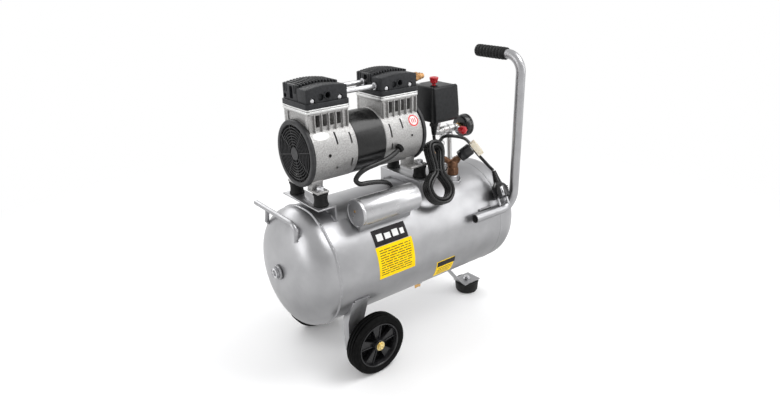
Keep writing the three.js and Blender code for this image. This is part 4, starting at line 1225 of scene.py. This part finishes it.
def make_housing(side, label):
    """A cast housing: its ribs, ports, slots, feet, bearing and stickers."""
    node = Box("housing_" + label)
    along = X * side
    wall = STATOR_HALF + 0.0003
    profile = [
        (wall, 0), (wall, 0.0588), (wall + 0.0012, HOUSING_RADIUS), (HOUSING_END - 0.0014, HOUSING_RADIUS)
    ]
    profile += [(HOUSING_END, 0.0586), (HOUSING_END, 0)]
    body = lathe("housing_cast_" + label, profile, MOTOR, along, CAST, 128)
    head_x = MOTOR.x + side * HEAD_OFFSET
    low, top = Vector((head_x, 0, MOTOR.z + 0.02)), Vector((head_x, 0, node.hi.z))
    neck = prism(
        "neck", rounded(0.085, 0.078, 0.005), Matrix.Translation(low), top.z - MOTOR.z - 0.02, CAST, 0.0008
    )
    boolean(body, neck, "UNION")
    tools = [
        drill(MOTOR + along * (wall - 0.004), MOTOR + along * BEARING_WALL[0], HOUSING_BORE, 96),
        drill(MOTOR + along * BEARING_WALL[1], MOTOR + along * (HOUSING_END + 0.004), HOUSING_BORE, 96),
        drill(
            MOTOR + along * (BEARING_WALL[0] - 0.003), MOTOR + along * (BEARING_WALL[1] + 0.003),
            BEARING_HOLE, 48,
        ),
        drill(low, top + Z * 0.004, CYLINDER_BORE, 64),
    ]
    for shift in (-0.0225, -0.0075, 0.0075, 0.0225):
        outline = rounded(0.0098, 0.0215, 0.0025, 4)
        tools.append(prism("t", outline, along_y((head_x + shift, 0.05, MOTOR.z + 0.0625)), 0.1, CAST, 0))
    for x, a0, a1 in SLOTS[label]:
        for first, last in ((a0, a1), (180 - a1, 180 - a0)):
            tools.append(arc_block(x - MOTOR.x, 0.0036, first, last, 0.052, 0.066))
    for x, degrees, radius in HOLES[label]:
        for turn in (degrees, 180 - degrees):
            tools.append(hole_tool(x - MOTOR.x, turn, radius))
    place = motor_place(side) @ Matrix.Translation((0, 0.0655, HEAD_OFFSET + 0.0402))
    pocket = prism("t", rounded(0.060, 0.022, 0.006), place, 0.01, CAST, 0)
    tools.append(boolean(pocket, drill(MOTOR, MOTOR + along * 0.15, 0.0605, 96)))
    for tool in tools:
        boolean(body, tool)
    finish_mesh(body, CAST, 30)
    pieces = [body]
    for shift in (-0.041, -0.030, -0.015, 0, 0.015, 0.030, 0.041):
        for y in (-1, 1):
            outline = [
                (0.0375, 0.0455), (0.0415, 0.0425), (0.0432, 0.046), (0.0432, 0.070), (0.0418, 0.0775)
            ]
            outline = [(y * a, b) for a, b in [*outline, (0.0375, 0.0775)]]
            start = (head_x + shift - 0.0011, 0, MOTOR.z)
            pieces.append(prism("rib", outline, along_x(start), 0.0022, CAST, 0.0006))
    plate = box("collar", top - mm(43.5, 41.5, 3.5), top + mm(43.5, 41.5, 0), CAST, 0.0008)
    pieces.append(boolean(plate, drill(top - Z * 0.01, top + Z * 0.01, CYLINDER_BORE, 64)))
    centre = MOTOR + along * (sum(BEARING_WALL) / 2)
    bearing = [(-3.8, 13), (-3.8, 8.25), (3.8, 8.25), (3.8, 13), (-3.8, 13)]
    pieces.append(turned("bearing", bearing, centre, along, STEEL, 48))
    floor = node.lo.z
    foot_x = Box("rubber_mount_" + label + "_near").mid.x
    leg_x = MOTOR.x + side * min(0.1123, abs(foot_x - MOTOR.x))
    for y in (-1, 1):
        low = Vector((min(foot_x, leg_x) - 0.013, min(y * 0.018, y * 0.054), floor))
        high = Vector((max(foot_x, leg_x) + 0.013, max(y * 0.018, y * 0.054), floor + HOUSING_FOOT))
        hole = Vector((foot_x, y * 0.043, floor))
        foot = box("foot", low, high, CAST, 0.0016, 3)
        pieces.append(boolean(foot, drill(hole - Z * 0.01, hole + Z * 0.01, 0.0043)))
        root = floor + 0.002 - MOTOR.z
        outline = [(0.018, root), (0.033, root), (0.036, -0.050), (0.033, -0.044), (0.018, -0.044)]
        outline = [(y * a, b) for a, b in outline]
        pieces.append(prism("leg", outline, along_x((leg_x - 0.012, 0, MOTOR.z)), 0.024, CAST, 0.0012, 3))
    if side < 0:
        pieces.append(round_patch("oval", *OVAL, 0.034, 0.016, 0, LABEL_WHITE))
    else:
        pieces.append(round_patch("disc", *DISC, 0.025, 0.025, 0, LABEL_WHITE))
        pieces.append(round_patch("ring", *DISC, 0.024, 0.024, 0.76, LABEL_RED, 0.0006))
        for shift in (-0.0045, 0, 0.0045):
            pieces.append(
                round_patch("bar", DISC[0] + shift, DISC[1], 0.0022, 0.0115, 0, LABEL_RED, 0.0006)
            )
    add(join("motor_housing_" + label, pieces), "frame", "cast_aluminium", "housing_" + label)


GRILLE_RINGS = (17.5, 22.5, 27.5, 32.5, 37.5, 42.5, 48)  # radii, millimetres
GRILLE_SPOKES = 8


def make_grille(side, label):
    """A round fan grille of rings and spokes."""
    at = HOUSING_END + 0.0003
    along = X * side
    start = MOTOR + along * at
    profile = [
        (0, 53.6), (0, 62.4), (0.5, 63), (5.4, 63), (7.3, 61.6), (8, 59.6), (8, 55.4), (7.2, 53.8),
        (6, 53.2), (0, 53.6),
    ]
    pieces = [turned("rim", profile, start, along, GRILLE, 96, 35)]
    for r in GRILLE_RINGS:
        section = [
            (4.6, r - 0.75), (7, r - 0.75), (7.4, r - 0.4), (7.4, r + 0.4), (7, r + 0.75), (4.6, r + 0.75)
        ]
        pieces.append(turned("ring", [*section, section[0]], start, along, GRILLE, 72, 35))
    disc = [(4.4, 0), (4.4, 12.4), (7.2, 12.4), (7.8, 11.8), (7.8, 0)]
    pieces.append(turned("disc", disc, start, along, GRILLE, 48, 35))
    outline = [(0.0115, -0.0008), (0.0545, -0.0008), (0.0545, 0.0008), (0.0115, 0.0008)]
    for i in range(GRILLE_SPOKES):
        turn = Matrix.Rotation(math.pi * (i + 0.3) / 4, 4, "Z")
        place = motor_place(side) @ Matrix.Translation((0, 0, at + 0.0044)) @ turn
        pieces.append(prism("spoke", outline, place, 0.0028, GRILLE, 0.0003, 1))
    add(join("grille_" + label, pieces), "frame", "black_plastic", "fan_grille_" + label)


def make_stator():
    """The pack of sheets, with a fine groove after each."""
    profile = [(-33, 40), (-33, 58.9), (-32.6, 59.4)]
    sheets, pitch = 41, 1.57
    for i in range(sheets):
        x = -32.2 + pitch * i
        profile += [
            (x, 59.46), (x + pitch - 0.3, 59.46), (x + pitch - 0.22, 59.3), (x + pitch - 0.08, 59.3)
        ]
    profile += [(32.6, 59.4), (33, 58.9), (33, 40), (-33, 40)]
    pack = turned("stator_pack", profile, MOTOR, X, STATOR_BLACK, 128, 30)
    add(pack, "frame", "laminations", "stator")


def make_inside():
    """What turns and slides inside, as finer copies of the CAD's pieces."""
    for label in ("front", "rear"):
        fan, piston = "fan_" + label, "piston_" + label
        add(refined("fan_wheel_" + label, fan, PLASTIC, 0.0005), "rotor", "black_plastic", fan)
        add(refined("piston_rod_" + label, piston, MACHINED, 0.0005), piston, "cast_aluminium", piston)
    add(refined("shaft", "rotor_shaft", STEEL, 0.0004), "rotor", "steel", "rotor_shaft")


# Holes in a head's near wall: [x and z from the middle of its foot, radius, depth].
HEAD_HOLES = (
    (0.001, 0.0205, 0.0052, 0.014), (-0.0135, 0.0185, 0.0062, 0.004),
    (-0.031, 0.0135, 0.0056, 0.007), (0.027, 0.0135, 0.0056, 0.007),
)
GROOVES = 12


def head_arch(height, half, rise=0.005, steps=14):
    """The arched top of a head's outline."""
    points = []
    for i in range(steps + 1):
        share = 1 - 2 * i / steps
        points.append((half * share, height + rise * math.cos(math.pi / 2 * share * 0.94)))
    return points


def make_head(label):
    """The valve plate with its gasket, and the finned head with its bolts."""
    node, plate = Box("cylinder_head_" + label), Box("valve_plate_" + label)
    middle = Vector((node.mid.x, node.mid.y, node.lo.z))
    half_l, half_w = HEAD_LENGTH / 2, HEAD_WIDTH / 2
    layers = []
    for name, inset, radius, bottom, top, material, bevel in (
        ("plate_low", 0, 0.006, 0, 0.0044, MACHINED, 0.0007),
        ("gasket", 0.0016, 0.005, 0.0044, 0.005, RUBBER, 0),
        ("plate_high", 0.0004, 0.006, 0.005, plate.size.z, MACHINED, 0.0007),
    ):
        outline = rounded(HEAD_LENGTH - inset, HEAD_WIDTH - inset, radius)
        place = Matrix.Translation((middle.x, 0, plate.lo.z + bottom))
        layers.append(prism(name, outline, place, top - bottom, material, bevel))
    add(join("plate_" + label, layers), "frame", "cast_aluminium", "valve_plate_" + label)

    ends = half_l - 0.003
    outline = rounded(HEAD_LENGTH, HEAD_WIDTH, 0.007)
    flange = prism("head_" + label, outline, Matrix.Translation(middle), 0.0095, HEAD_BLACK, 0.0012, 3)
    near = [(-ends, 0.004), (ends, 0.004), *head_arch(0.0335, ends)]
    near_wall = prism(
        "near", near, along_y((middle.x, -half_w + 0.034, middle.z)), 0.030, HEAD_BLACK, 0.0016, 3
    )
    crown = [(-ends, 0.004), (ends, 0.004), *head_arch(0.0375, ends)]
    place = along_y((middle.x, half_w - 0.004, middle.z))
    fins = prism("fins", crown, place, HEAD_WIDTH - 0.038, HEAD_BLACK, 0.0016, 3)
    for i in range(GROOVES):
        x = middle.x - half_l + 0.0102 + i * 0.0066
        low, high = (x - 0.0018, -half_w + 0.034, middle.z + 0.020), (
            x + 0.0018, half_w + 0.005, middle.z + 0.06
        )
        boolean(fins, box("g", low, high, HEAD_BLACK, 0))
    place = along_x((middle.x - ends - 0.002, 0.010, middle.z + 0.024))
    boolean(fins, prism("g", rounded(0.011, 0.022, 0.003, 4), place, 0.010, HEAD_BLACK, 0))
    for y in (-0.0062, -0.0012, 0.0262, 0.0318):
        for end in (-1, 1):
            x = middle.x + end * ends
            low, high = (x - 0.006, y - 0.0012, middle.z + 0.023), (x + 0.006, y + 0.0012, middle.z + 0.05)
            boolean(fins, box("g", low, high, HEAD_BLACK, 0))
    at = Vector((middle.x - ends, 0.032, middle.z + 0.016))
    boolean(fins, rod("g", at - X * 0.001, at + X * 0.012, 0.0042, HEAD_BLACK, 0.0001, 24))
    front = -half_w + 0.004
    for x, z, r, depth in HEAD_HOLES:
        at = Vector((middle.x + x, front, middle.z + z))
        boolean(near_wall, rod("g", at - Y * 0.002, at + Y * depth, r, HEAD_BLACK, 0.0001, 32))
    for piece in (fins, near_wall):
        finish_mesh(piece, HEAD_BLACK, 30)
    pieces = [flange, near_wall, fins]
    port = [(-0.6, 5.3), (-1.4, 5.9), (-1.4, 7.2), (-0.8, 7.8), (2, 8.4), (2, 5.2), (-0.6, 5.3)]
    at = Vector((middle.x + HEAD_HOLES[0][0], front, middle.z + HEAD_HOLES[0][1]))
    pieces.append(turned("port", port, at, Y, HEAD_BLACK, 40, 35))
    for x in (-0.031, 0.027):
        at = Vector((middle.x + x, front + 0.0062, middle.z + 0.0135))
        pieces.append(hexagon("bolt", at, at - Y * 0.0056, 0.0072, STEEL))
        pieces.append(turned("w", [(0, 0), (0, 5), (1.2, 5), (1.2, 0)], at, -Y, STEEL, 24))
    for end in (-1, 1):
        at = Vector((middle.x + end * (half_l - 0.0075), half_w - 0.0075, middle.z + 0.0094))
        pieces.append(rod("bolt", at - Z * 0.002, at + Z * 0.0016, 0.0030, STEEL, 0.0004, 24))
    add(join("head_cast_" + label, pieces), "frame", "black_paint", "cylinder_head_" + label)


def make_link_tubes():
    """The two tubes between the heads, with their collars."""
    for i in (1, 2):
        node = Box("transfer_tube_%d" % i)
        gap = (HEAD_OFFSET - HEAD_LENGTH / 2 + 0.003) * 1000
        reach = node.size.x / 2 * 1000
        profile = [
            (-reach, 0), (-reach, 4.9), (-gap - 0.5, 4.9), (-gap + 0.4, 7), (-gap + 2.4, 7), (-gap + 3, 4.9)
        ]
        profile += [
            (gap - 3, 4.9), (gap - 2.4, 7), (gap - 0.4, 7), (gap + 0.5, 4.9), (reach, 4.9), (reach, 0)
        ]
        tube_piece = turned("link_%d" % i, profile, node.mid, X, STEEL, 40, 35)
        add(tube_piece, "frame", "steel", "transfer_tube_%d" % i)


for side, label in ((-1, "front"), (1, "rear")):
    make_housing(side, label)
    make_grille(side, label)
    make_head(label)
make_stator()
make_inside()
make_link_tubes()


# ---- Air line ------------------------------------------------------------------------------------
def make_outlet():
    """The outlet fitting and the delivery tube with its nuts."""
    fitting = Box("outlet_fitting")
    start = Vector((fitting.lo.x, fitting.mid.y, fitting.mid.z))
    span = fitting.size.x
    base = start + X * 0.0123
    nut = hexagon("nut", base, base + X * 0.0095, 0.0164, AGED_BRASS)
    profile = [
        (0, 0), (0, 5.6), (12, 5.6), (12, 7.6), (13.4, 7.9), (21, 7.9), (22, 6.6), (24, 6.6), (24.3, 7),
        (span * 1000 - 0.6, 7), (span * 1000, 6.4), (span * 1000, 0),
    ]
    body = turned("body", profile, start, X, AGED_BRASS, 40, 35)
    cap = hexagon("cap", start + X * 0.0235, start + X * (span - 0.001), 0.0128, AGED_BRASS)
    add(join("outlet_union", [body, nut, cap]), "frame", "brass", "outlet_fitting")
    end = Vector((fitting.hi.x + 0.0003, fitting.mid.y, fitting.mid.z))
    route = [
        end, mm(67, -27, 560), mm(68, 28, 540), mm(72, 30, 430), mm(88, 6, 395), mm(106.3, -22.3, 386.3)
    ]
    line = bent_line(route, 0.016, 10)
    pipe = tube("pipe", line, 0.004, MACHINED, 28)
    ferrule = rod("ferrule", line[0], line[0] + X * 0.006, 0.0056, AGED_BRASS, 0.0006, 32)
    down = (route[-1] - route[-2]).normalized()
    nut = hexagon("nut", route[-1] - down * 0.010, route[-1] - down * 0.0012, 0.0125, AGED_BRASS)
    add(join("delivery_pipe", [pipe, ferrule, nut]), "frame", "steel", "delivery_tube")


COIL_AXIS = Vector((0.62, -0.475, 0.62)).normalized()


def make_check_valve():
    """The check valve, the unloader coil on it and its connector."""
    base = Vector((VALVE_X, VALVE_Y, Box("check_valve").lo.z))
    middle = base + Z * 0.024
    tube_end = base + mm(-26.5, 20.4, 43)
    coil_foot = base + mm(11.5, -8.7, 38)
    low = hexagon("hex", base, base + Z * 0.017, 0.0232, BRONZE)
    profile = [(15, 0), (15, 10.6), (16.4, 11.6), (24, 11.8), (28, 11), (31, 8.6), (32, 6.4), (32, 0)]
    body = turned("body", profile, base, Z, BRONZE, 48, 35)
    branch = (tube_end - middle).normalized()
    reach = (tube_end - middle).length
    left = rod("left", middle, tube_end - branch * 0.008, 0.0062, BRONZE, 0.0006, 32)
    left_nut = hexagon("ln", tube_end - branch * 0.0125, tube_end - branch * 0.0005, 0.0122, BRONZE)
    collar = rod(
        "collar", middle + branch * (reach * 0.42), middle + branch * (reach * 0.55), 0.0070, BRONZE,
        0.0006, 32,
    )
    right = rod("right", middle, coil_foot - COIL_AXIS * 0.006, 0.0086, BRONZE, 0.0006, 32)
    right_nut = hexagon(
        "rn", coil_foot - COIL_AXIS * 0.0085, coil_foot - COIL_AXIS * 0.0008, 0.0124, BRONZE
    )
    pieces = [low, body, left, left_nut, collar, right, right_nut]
    add(join("valve_body", pieces), "frame", "bronze", "check_valve")

    start = coil_foot + COIL_AXIS * 0.0003
    profile = [
        (0, 0), (0, 9.4), (1.2, 12.2), (2.4, 12.9), (27.5, 12.9), (29.6, 12.2), (30.6, 10.8), (31, 9),
        (31, 0),
    ]
    coil = turned("coil", profile, start, COIL_AXIS, SHINY_PLASTIC, 48, 35)
    disc = turned(
        "w", [(31, 0), (31, 8.2), (31.7, 8.2), (31.9, 7.9), (31.9, 0)], start, COIL_AXIS, STEEL, 32
    )
    nut = hexagon("n", start + COIL_AXIS * 0.0312, start + COIL_AXIS * 0.0332, 0.0088, STEEL)
    label = turned(
        "band", [(9, 12.8), (9, 13), (16, 13), (16, 12.8), (9, 12.8)], start, COIL_AXIS, PLASTIC, 48, 35
    )
    add(join("solenoid", [coil, disc, nut, label]), "frame", "black_plastic", "unloader_coil")

    level = -COIL_AXIS.cross(Z).normalized()
    turn = Matrix((level, COIL_AXIS.cross(level), COIL_AXIS)).transposed().to_4x4()
    place = Matrix.Translation(start) @ turn
    at = lambda x, y, z: place @ Matrix.Translation(mm(x, y, z))
    body = prism("b", rounded(0.0158, 0.0335, 0.0022), at(0, -7, 33.5), 0.0132, NYLON, 0.0012, 3)
    ridge = prism("r", rounded(0.0124, 0.020, 0.002), at(0, -9, 46.5), 0.0005, NYLON, 0.0002)
    pieces = [body, ridge]
    for y in (-19.5, -13, 2, 6.5):
        pieces.append(prism("rib", rounded(0.0159, 0.0016, 0.0004, 2), at(0, y, 35), 0.0118, NYLON, 0.0002))
    pieces.append(
        turned(
            "screw", [(0, 0), (0, 3.4), (0.7, 3.4), (1, 2.8), (1, 0)], at(0, -3, 46.1).translation,
            COIL_AXIS, BRASS, 24,
        ),
    )
    add(join("coil_plug", pieces), "frame", "white_nylon", "coil_connector")


def make_riser():
    """The tube from the tank to the manifold, with its nuts."""
    riser = Box("riser_tube")
    top = Vector((RISER_X - 0.004, 0, riser.hi.z))
    foot = Vector((RISER_X, 0, riser.lo.z))
    pieces = [rod("tube", foot, top, 0.0058, MACHINED, 0.0004, 32)]
    up = (top - foot).normalized()
    pieces.append(hexagon("nut", foot + up * 0.0005, foot + up * 0.010, 0.0168, STEEL))
    pieces.append(hexagon("nut", top - up * 0.0105, top - up * 0.0006, 0.0152, STEEL))
    add(join("riser", pieces), "frame", "steel", "riser_tube")


MANIFOLD_Z = 0.428
SWITCH_X, SAFETY_X, TAP_X = 0.128, 0.144, 0.176
# The manifold's branches: [x, direction, length, nut across flats, radius].
BRANCHES = (
    (SWITCH_X, Z, 0.0256, 0.0138, 0.0062),
    (TAP_X, -Y, 0.020, 0.0122, 0.0052),
    (TAP_X, Y, 0.024, 0.0094, 0.0046),
    (SAFETY_X, -Z, 0.018, 0.0118, 0.0050),
)


def make_manifold():
    """The bar with its branches, the safety valve's ring and the tap's knob."""
    node = Box("manifold")
    middle = Vector((0, 0, MANIFOLD_Z))
    length = node.size.x * 1000
    line = [(0, 0), (0, 6.8), (0.8, 7.6), (7, 7.6), (8, 8.5), (20, 8.5), (21, 7.4), (23, 7.4), (24, 8.5)]
    line += [(34, 8.5), (35, 7.2), (39, 7.2), (40, 8.4), (50, 8.4), (52, 8.4), (53, 7), (58, 7), (59, 8.2)]
    line += [(64, 8.2), (65, 6.4), (70, 6.4), (length, 6.4), (length, 0)]
    pieces = [turned("bar", line, middle + X * node.lo.x, X, MACHINED, 40, 35)]
    for x, along, reach, flats, radius in BRANCHES:
        start = middle + X * x
        pieces.append(rod("stub", start, start + along * reach, radius, MACHINED, 0.0005, 32))
        low, high = start + along * (reach * 0.52), start + along * (reach - 0.0012)
        pieces.append(hexagon("nut", low, high, flats, STEEL))
    end = middle + X * node.hi.x
    pieces.append(hexagon("nut", end - X * 0.0085, end - X * 0.0012, 0.0146, BRASS))
    add(join("fittings", pieces), "frame", "steel", "manifold")

    centre = Vector((SAFETY_X, 0, MANIFOLD_Z - 0.018))
    ring = []
    for i in range(37):
        a = 2 * math.pi * i / 36
        ring.append(centre + Vector((0.006 * math.cos(a), 0, 0.006 * math.sin(a) - 0.013)))
    eye = tube("eye", ring, 0.0011, STEEL, 12, False)
    stem = rod("stem", centre - Z * 0.0075, centre + Z * 0.006, 0.0019, STEEL, 0.0003, 24)
    add(join("safety_ring", [eye, stem]), "safety_pull", "steel", "safety_valve_pull")

    hub = Vector((TAP_X, -0.0203, MANIFOLD_Z))
    profile = [
        (0.4, 0), (0.4, 5.6), (1, 6.4), (3, 6.4), (3.6, 7.8), (15, 7.8), (16.4, 6.8), (17.6, 4.2), (18, 0)
    ]
    pieces = [turned("knob", profile, hub, -Y, RED, 48, 40)]
    for i in range(6):
        turn = Matrix.Rotation(math.pi * i / 3, 4, "Z")
        place = basis(-Y, hub - Y * 0.0036) @ turn @ Matrix.Translation((0.0066, 0, 0))
        pieces.append(prism("lobe", polygon(14, 0.0023), place, 0.0128, RED, 0.0009, 3))
    stem = rod("stem", hub - Y * 0.002, hub + Y * 0.0070, 0.0024, STEEL, 0.0003, 20)
    add(join("tap_knob", [*pieces, stem]), "outlet_tap", "red_plastic", "outlet_tap")


def make_switch():
    """The switch's base and cover, its screws and its pull button."""
    node = Box("pressure_switch")
    lo, hi = node.lo, node.hi
    seam_y = lo.y + 0.0155
    knob = Box("switch_knob")
    top = hi.z - 0.001
    front = [(seam_y, lo.z + 0.0005), (seam_y, top), (lo.y + 0.010, top), (lo.y + 0.0068, hi.z - 0.004)]
    front += [(lo.y + 0.0008, lo.z + 0.024), (lo.y + 0.0008, lo.z + 0.0075), (lo.y + 0.0062, lo.z + 0.0005)]
    behind = [
        (seam_y + 0.0006, lo.z + 0.0008), (hi.y, lo.z + 0.0008), (hi.y, top - 0.001),
        (seam_y + 0.0006, top - 0.001),
    ]
    base = prism("base", behind, along_x((lo.x + 0.0014, 0, 0)), hi.x - lo.x - 0.0028, PLASTIC, 0.0022, 3)
    cover = prism("cover", front, along_x((lo.x, 0, 0)), hi.x - lo.x, PLASTIC, 0.0036, 4)
    well = Vector((knob.mid.x, knob.mid.y, hi.z - 0.024))
    for piece in (base, cover):
        boolean(piece, rod("well", well, well + Z * 0.028, 0.0062, PLASTIC, 0.0001, 40))
        finish_mesh(piece, PLASTIC, 40)
    centre = Vector((knob.mid.x, knob.mid.y, hi.z))
    profile = [(-1.4, 6.3), (-1.4, 8.2), (0.1, 8.2), (0.5, 7.6), (0.5, 6.3), (-1.4, 6.3)]
    collar = turned("collar", profile, centre - Z * 0.0005, Z, PLASTIC, 40)
    pieces = [base, cover, collar]
    for x in (lo.x + 0.012, hi.x - 0.012):
        at = Vector((x, hi.y - 0.010, hi.z - 0.0021))
        profile = [(-0.6, 0), (-0.6, 3.4), (0.4, 3.4), (0.9, 2.6), (1, 0)]
        pieces.append(turned("screw", profile, at, Z, STEEL, 24))
    add(join("switch_case", pieces), "frame", "black_plastic", "pressure_switch")
    profile = [
        (-14, 0), (-14, 3.8), (4, 3.8), (5, 5.4), (6, 6.6), (9, 6.9), (11.5, 7.6), (14, 9), (15.2, 9.5)
    ]
    profile += [(16.4, 9.5), (17, 9), (17, 7.4), (16.2, 6.6), (16.2, 0)]
    pieces = [turned("button", profile, centre, Z, RED, 56, 35)]
    flutes = 12
    for i in range(flutes):
        a = 2 * math.pi * i / flutes
        out = Vector((math.cos(a), math.sin(a), 0))
        low, tip = centre + out * 0.0066 + Z * 0.006, centre + out * 0.0086 + Z * 0.0145
        pieces.append(rod("flute", low, tip, 0.0007, RED, 0.0002, 8))
    add(join("pull_button", pieces), "switch_knob", "red_plastic", "switch_knob")


DIAL_MARK = finish("dial_mark", grey(0.02), grey(0.03), (0.4, 0.5), 0, 60)


DIAL_STEPS = 40


def make_gauge():
    """The gauge with its ticks, needle and lens."""
    node = Box("pressure_gauge")
    start = Vector((node.lo.x, node.mid.y, node.mid.z))
    depth = node.size.x * 1000
    profile = [
        (0, 0), (0, 20.4), (0.8, 22.2), (2.2, 23.6), (3, 24), (14.4, 24), (15, 24.9), (depth - 1, 24.9)
    ]
    profile += [(depth, 24), (depth, 22.9), (14.2, 22.9), (14, 22.6), (14, 0)]
    case = turned("case", profile, start, X, SHINY_PLASTIC, 72, 35)
    dial = turned("dial", [(14, 0), (14, 22.4), (14.25, 22.4), (14.25, 0)], start, X, LABEL_WHITE, 64, 35)
    pieces = [case, dial, turned("stub", [(-0.1, 0), (-0.1, 5), (0.4, 6.4), (0.4, 0)], start, X, BRASS, 24)]
    for i in range(DIAL_STEPS + 1):
        angle = math.radians(225 - 270 * i / DIAL_STEPS)
        long = i % 5 == 0
        place = along_x(start + X * 0.0142) @ Matrix.Rotation(angle, 4, "Z")
        r0, r1 = (0.0172, 0.0212) if long else (0.0194, 0.0212)
        w = 0.0005 if long else 0.00025
        pieces.append(prism("tick", [(r0, -w), (r1, -w), (r1, w), (r0, w)], place, 0.0002, DIAL_MARK, 0))
    add(join("gauge_case", pieces), "frame", "black_paint", "pressure_gauge")
    needle = refined("needle_hand", "gauge_needle", RED, 0.0001, 1)
    add(needle, "needle", "red_plastic", "gauge_needle")
    lens = Box("gauge_lens")
    glass = turned(
        "lens", [(0, 0), (0, 22.6), (1.1, 22.6), (1.5, 21.6), (1.5, 0)],
        Vector((lens.lo.x, lens.mid.y, lens.mid.z)), X, CLEAR, 64, 35,
    )
    add(glass, "frame", "clear_lens", "gauge_lens")


def clear_plastic():
    """A clear finish for the lens."""
    material = finish("clear_plastic", (0.96, 0.97, 0.97), (0.99, 0.99, 0.99), (0.02, 0.06), 0, 30)
    material.node_tree.nodes["Principled BSDF"].inputs["Transmission Weight"].default_value = 1.0
    material.node_tree.nodes["Principled BSDF"].inputs["IOR"].default_value = 1.45
    return material


CLEAR = clear_plastic()


# ---- Capacitor and motor lead --------------------------------------------------------------------
CAPACITOR_DEGREES = 127  # where it sits round the tank


def make_capacitor():
    """The capacitor can on its welded strip."""
    node = Box("capacitor_case")
    tilt = math.radians(CAPACITOR_DEGREES)
    reach = TANK_RADIUS + 0.030
    axis_point = Vector((0, reach * math.cos(tilt), TANK_AXIS_Z + reach * math.sin(tilt)))
    start = Vector((node.lo.x, axis_point.y, axis_point.z))
    length = node.size.x * 1000
    profile = [
        (0.9, 0), (0.9, 24.2), (0.2, 24.8), (0, 25.6), (0.2, 26.6), (1.2, 27.4), (3, 27.5), (6.2, 27.5),
        (6.6, 27.25), (7, 27.5),
    ]
    profile += [(length - 5, 27.5), (length - 2, 26.6), (length - 0.4, 24.4), (length, 21), (length, 0)]
    can = turned("can", profile, start, X, CAN_SILVER, 96, 35)
    head = [(-0.9, 0), (-0.9, 2.4), (-0.3, 3.6), (0.9, 3.8), (1.2, 3.8), (1.2, 0)]
    screw = turned("screw", head, start + mm(1.7, 3, 3), X, BRASS, 24)
    out = Vector((0, math.cos(tilt), math.sin(tilt)))
    flat = Vector((0, -math.sin(tilt), math.cos(tilt)))
    place = Matrix.Translation(
        axis_point + X * (start.x + 0.008)
    ) @ Matrix((flat, out, X)).transposed().to_4x4()
    outline = [(-0.0235, -0.0335), (0.0235, -0.0335), (0.0235, -0.031), (0.020, -0.0185), (-0.020, -0.0185)]
    strip = prism("strip", [*outline, (-0.0235, -0.031)], place, 0.124, SILVER, 0.0006)
    middle = Z * TANK_AXIS_Z
    boolean(
        strip, rod("tank", middle - X * 0.3, middle + X * 0.3, TANK_RADIUS + 0.0002, SILVER, 0.0001, 160)
    )
    finish_mesh(strip, SILVER, 35)
    pieces = [can, screw, strip]
    for edge, seed in ((-10.6, 81), (10.6, 82)):
        line = [on_tank(start.x + 0.012 + 0.0024 * i, CAPACITOR_DEGREES + edge, 0.0010) for i in range(48)]
        pieces.append(weld("w", line, 0.0013, SILVER, seed))
    add(join("capacitor", pieces), "frame", "silver_paint", "capacitor_case")


MOTOR_LEAD = [
    (-31, -65, 436), (-44, -67, 429.5), (-66, -70, 423), (-92, -71.5, 419), (
        -117, -72, 415.5
    ), (-134, -72, 408.5),
    (
        -142, -72, 398.5
    ), (-134, -72, 389.5), (-110, -72, 386), (-84, -72, 381.5), (-62, -66, 372), (-50, -58.5, 361),
]


def make_motor_lead():
    """The sleeved lead between the housings, with its grommet."""
    line = smooth_line([mm(*p) for p in MOTOR_LEAD], 12)
    sleeve = tube("sleeve", line, 0.0047, JACKET, 24)
    start = (line[0] - line[2]).normalized()
    grommet = [
        (-2, 5), (-2, 7.8), (-0.6, 8.6), (1, 8.6), (1.8, 7.6), (2.4, 8.4), (4.4, 8.6), (5.2, 7.4),
        (5.2, 4.4), (-2, 5),
    ]
    seat = line[0] - start * 0.001
    pieces = [sleeve, turned("grommet", grommet, seat, start, RUBBER, 40, 35)]
    ball = [(3, 0), (3, 5.2), (4.4, 6.6), (6.2, 6.0), (7, 3.6), (7.2, 0)]
    pieces.append(turned("boot", ball, seat, start, RUBBER, 32, 35))
    add(join("motor_sleeve", pieces), "frame", "cord_jacket", "motor_lead")


make_outlet()
make_check_valve()
make_riser()
make_manifold()
make_switch()
make_gauge()
make_capacitor()
make_motor_lead()
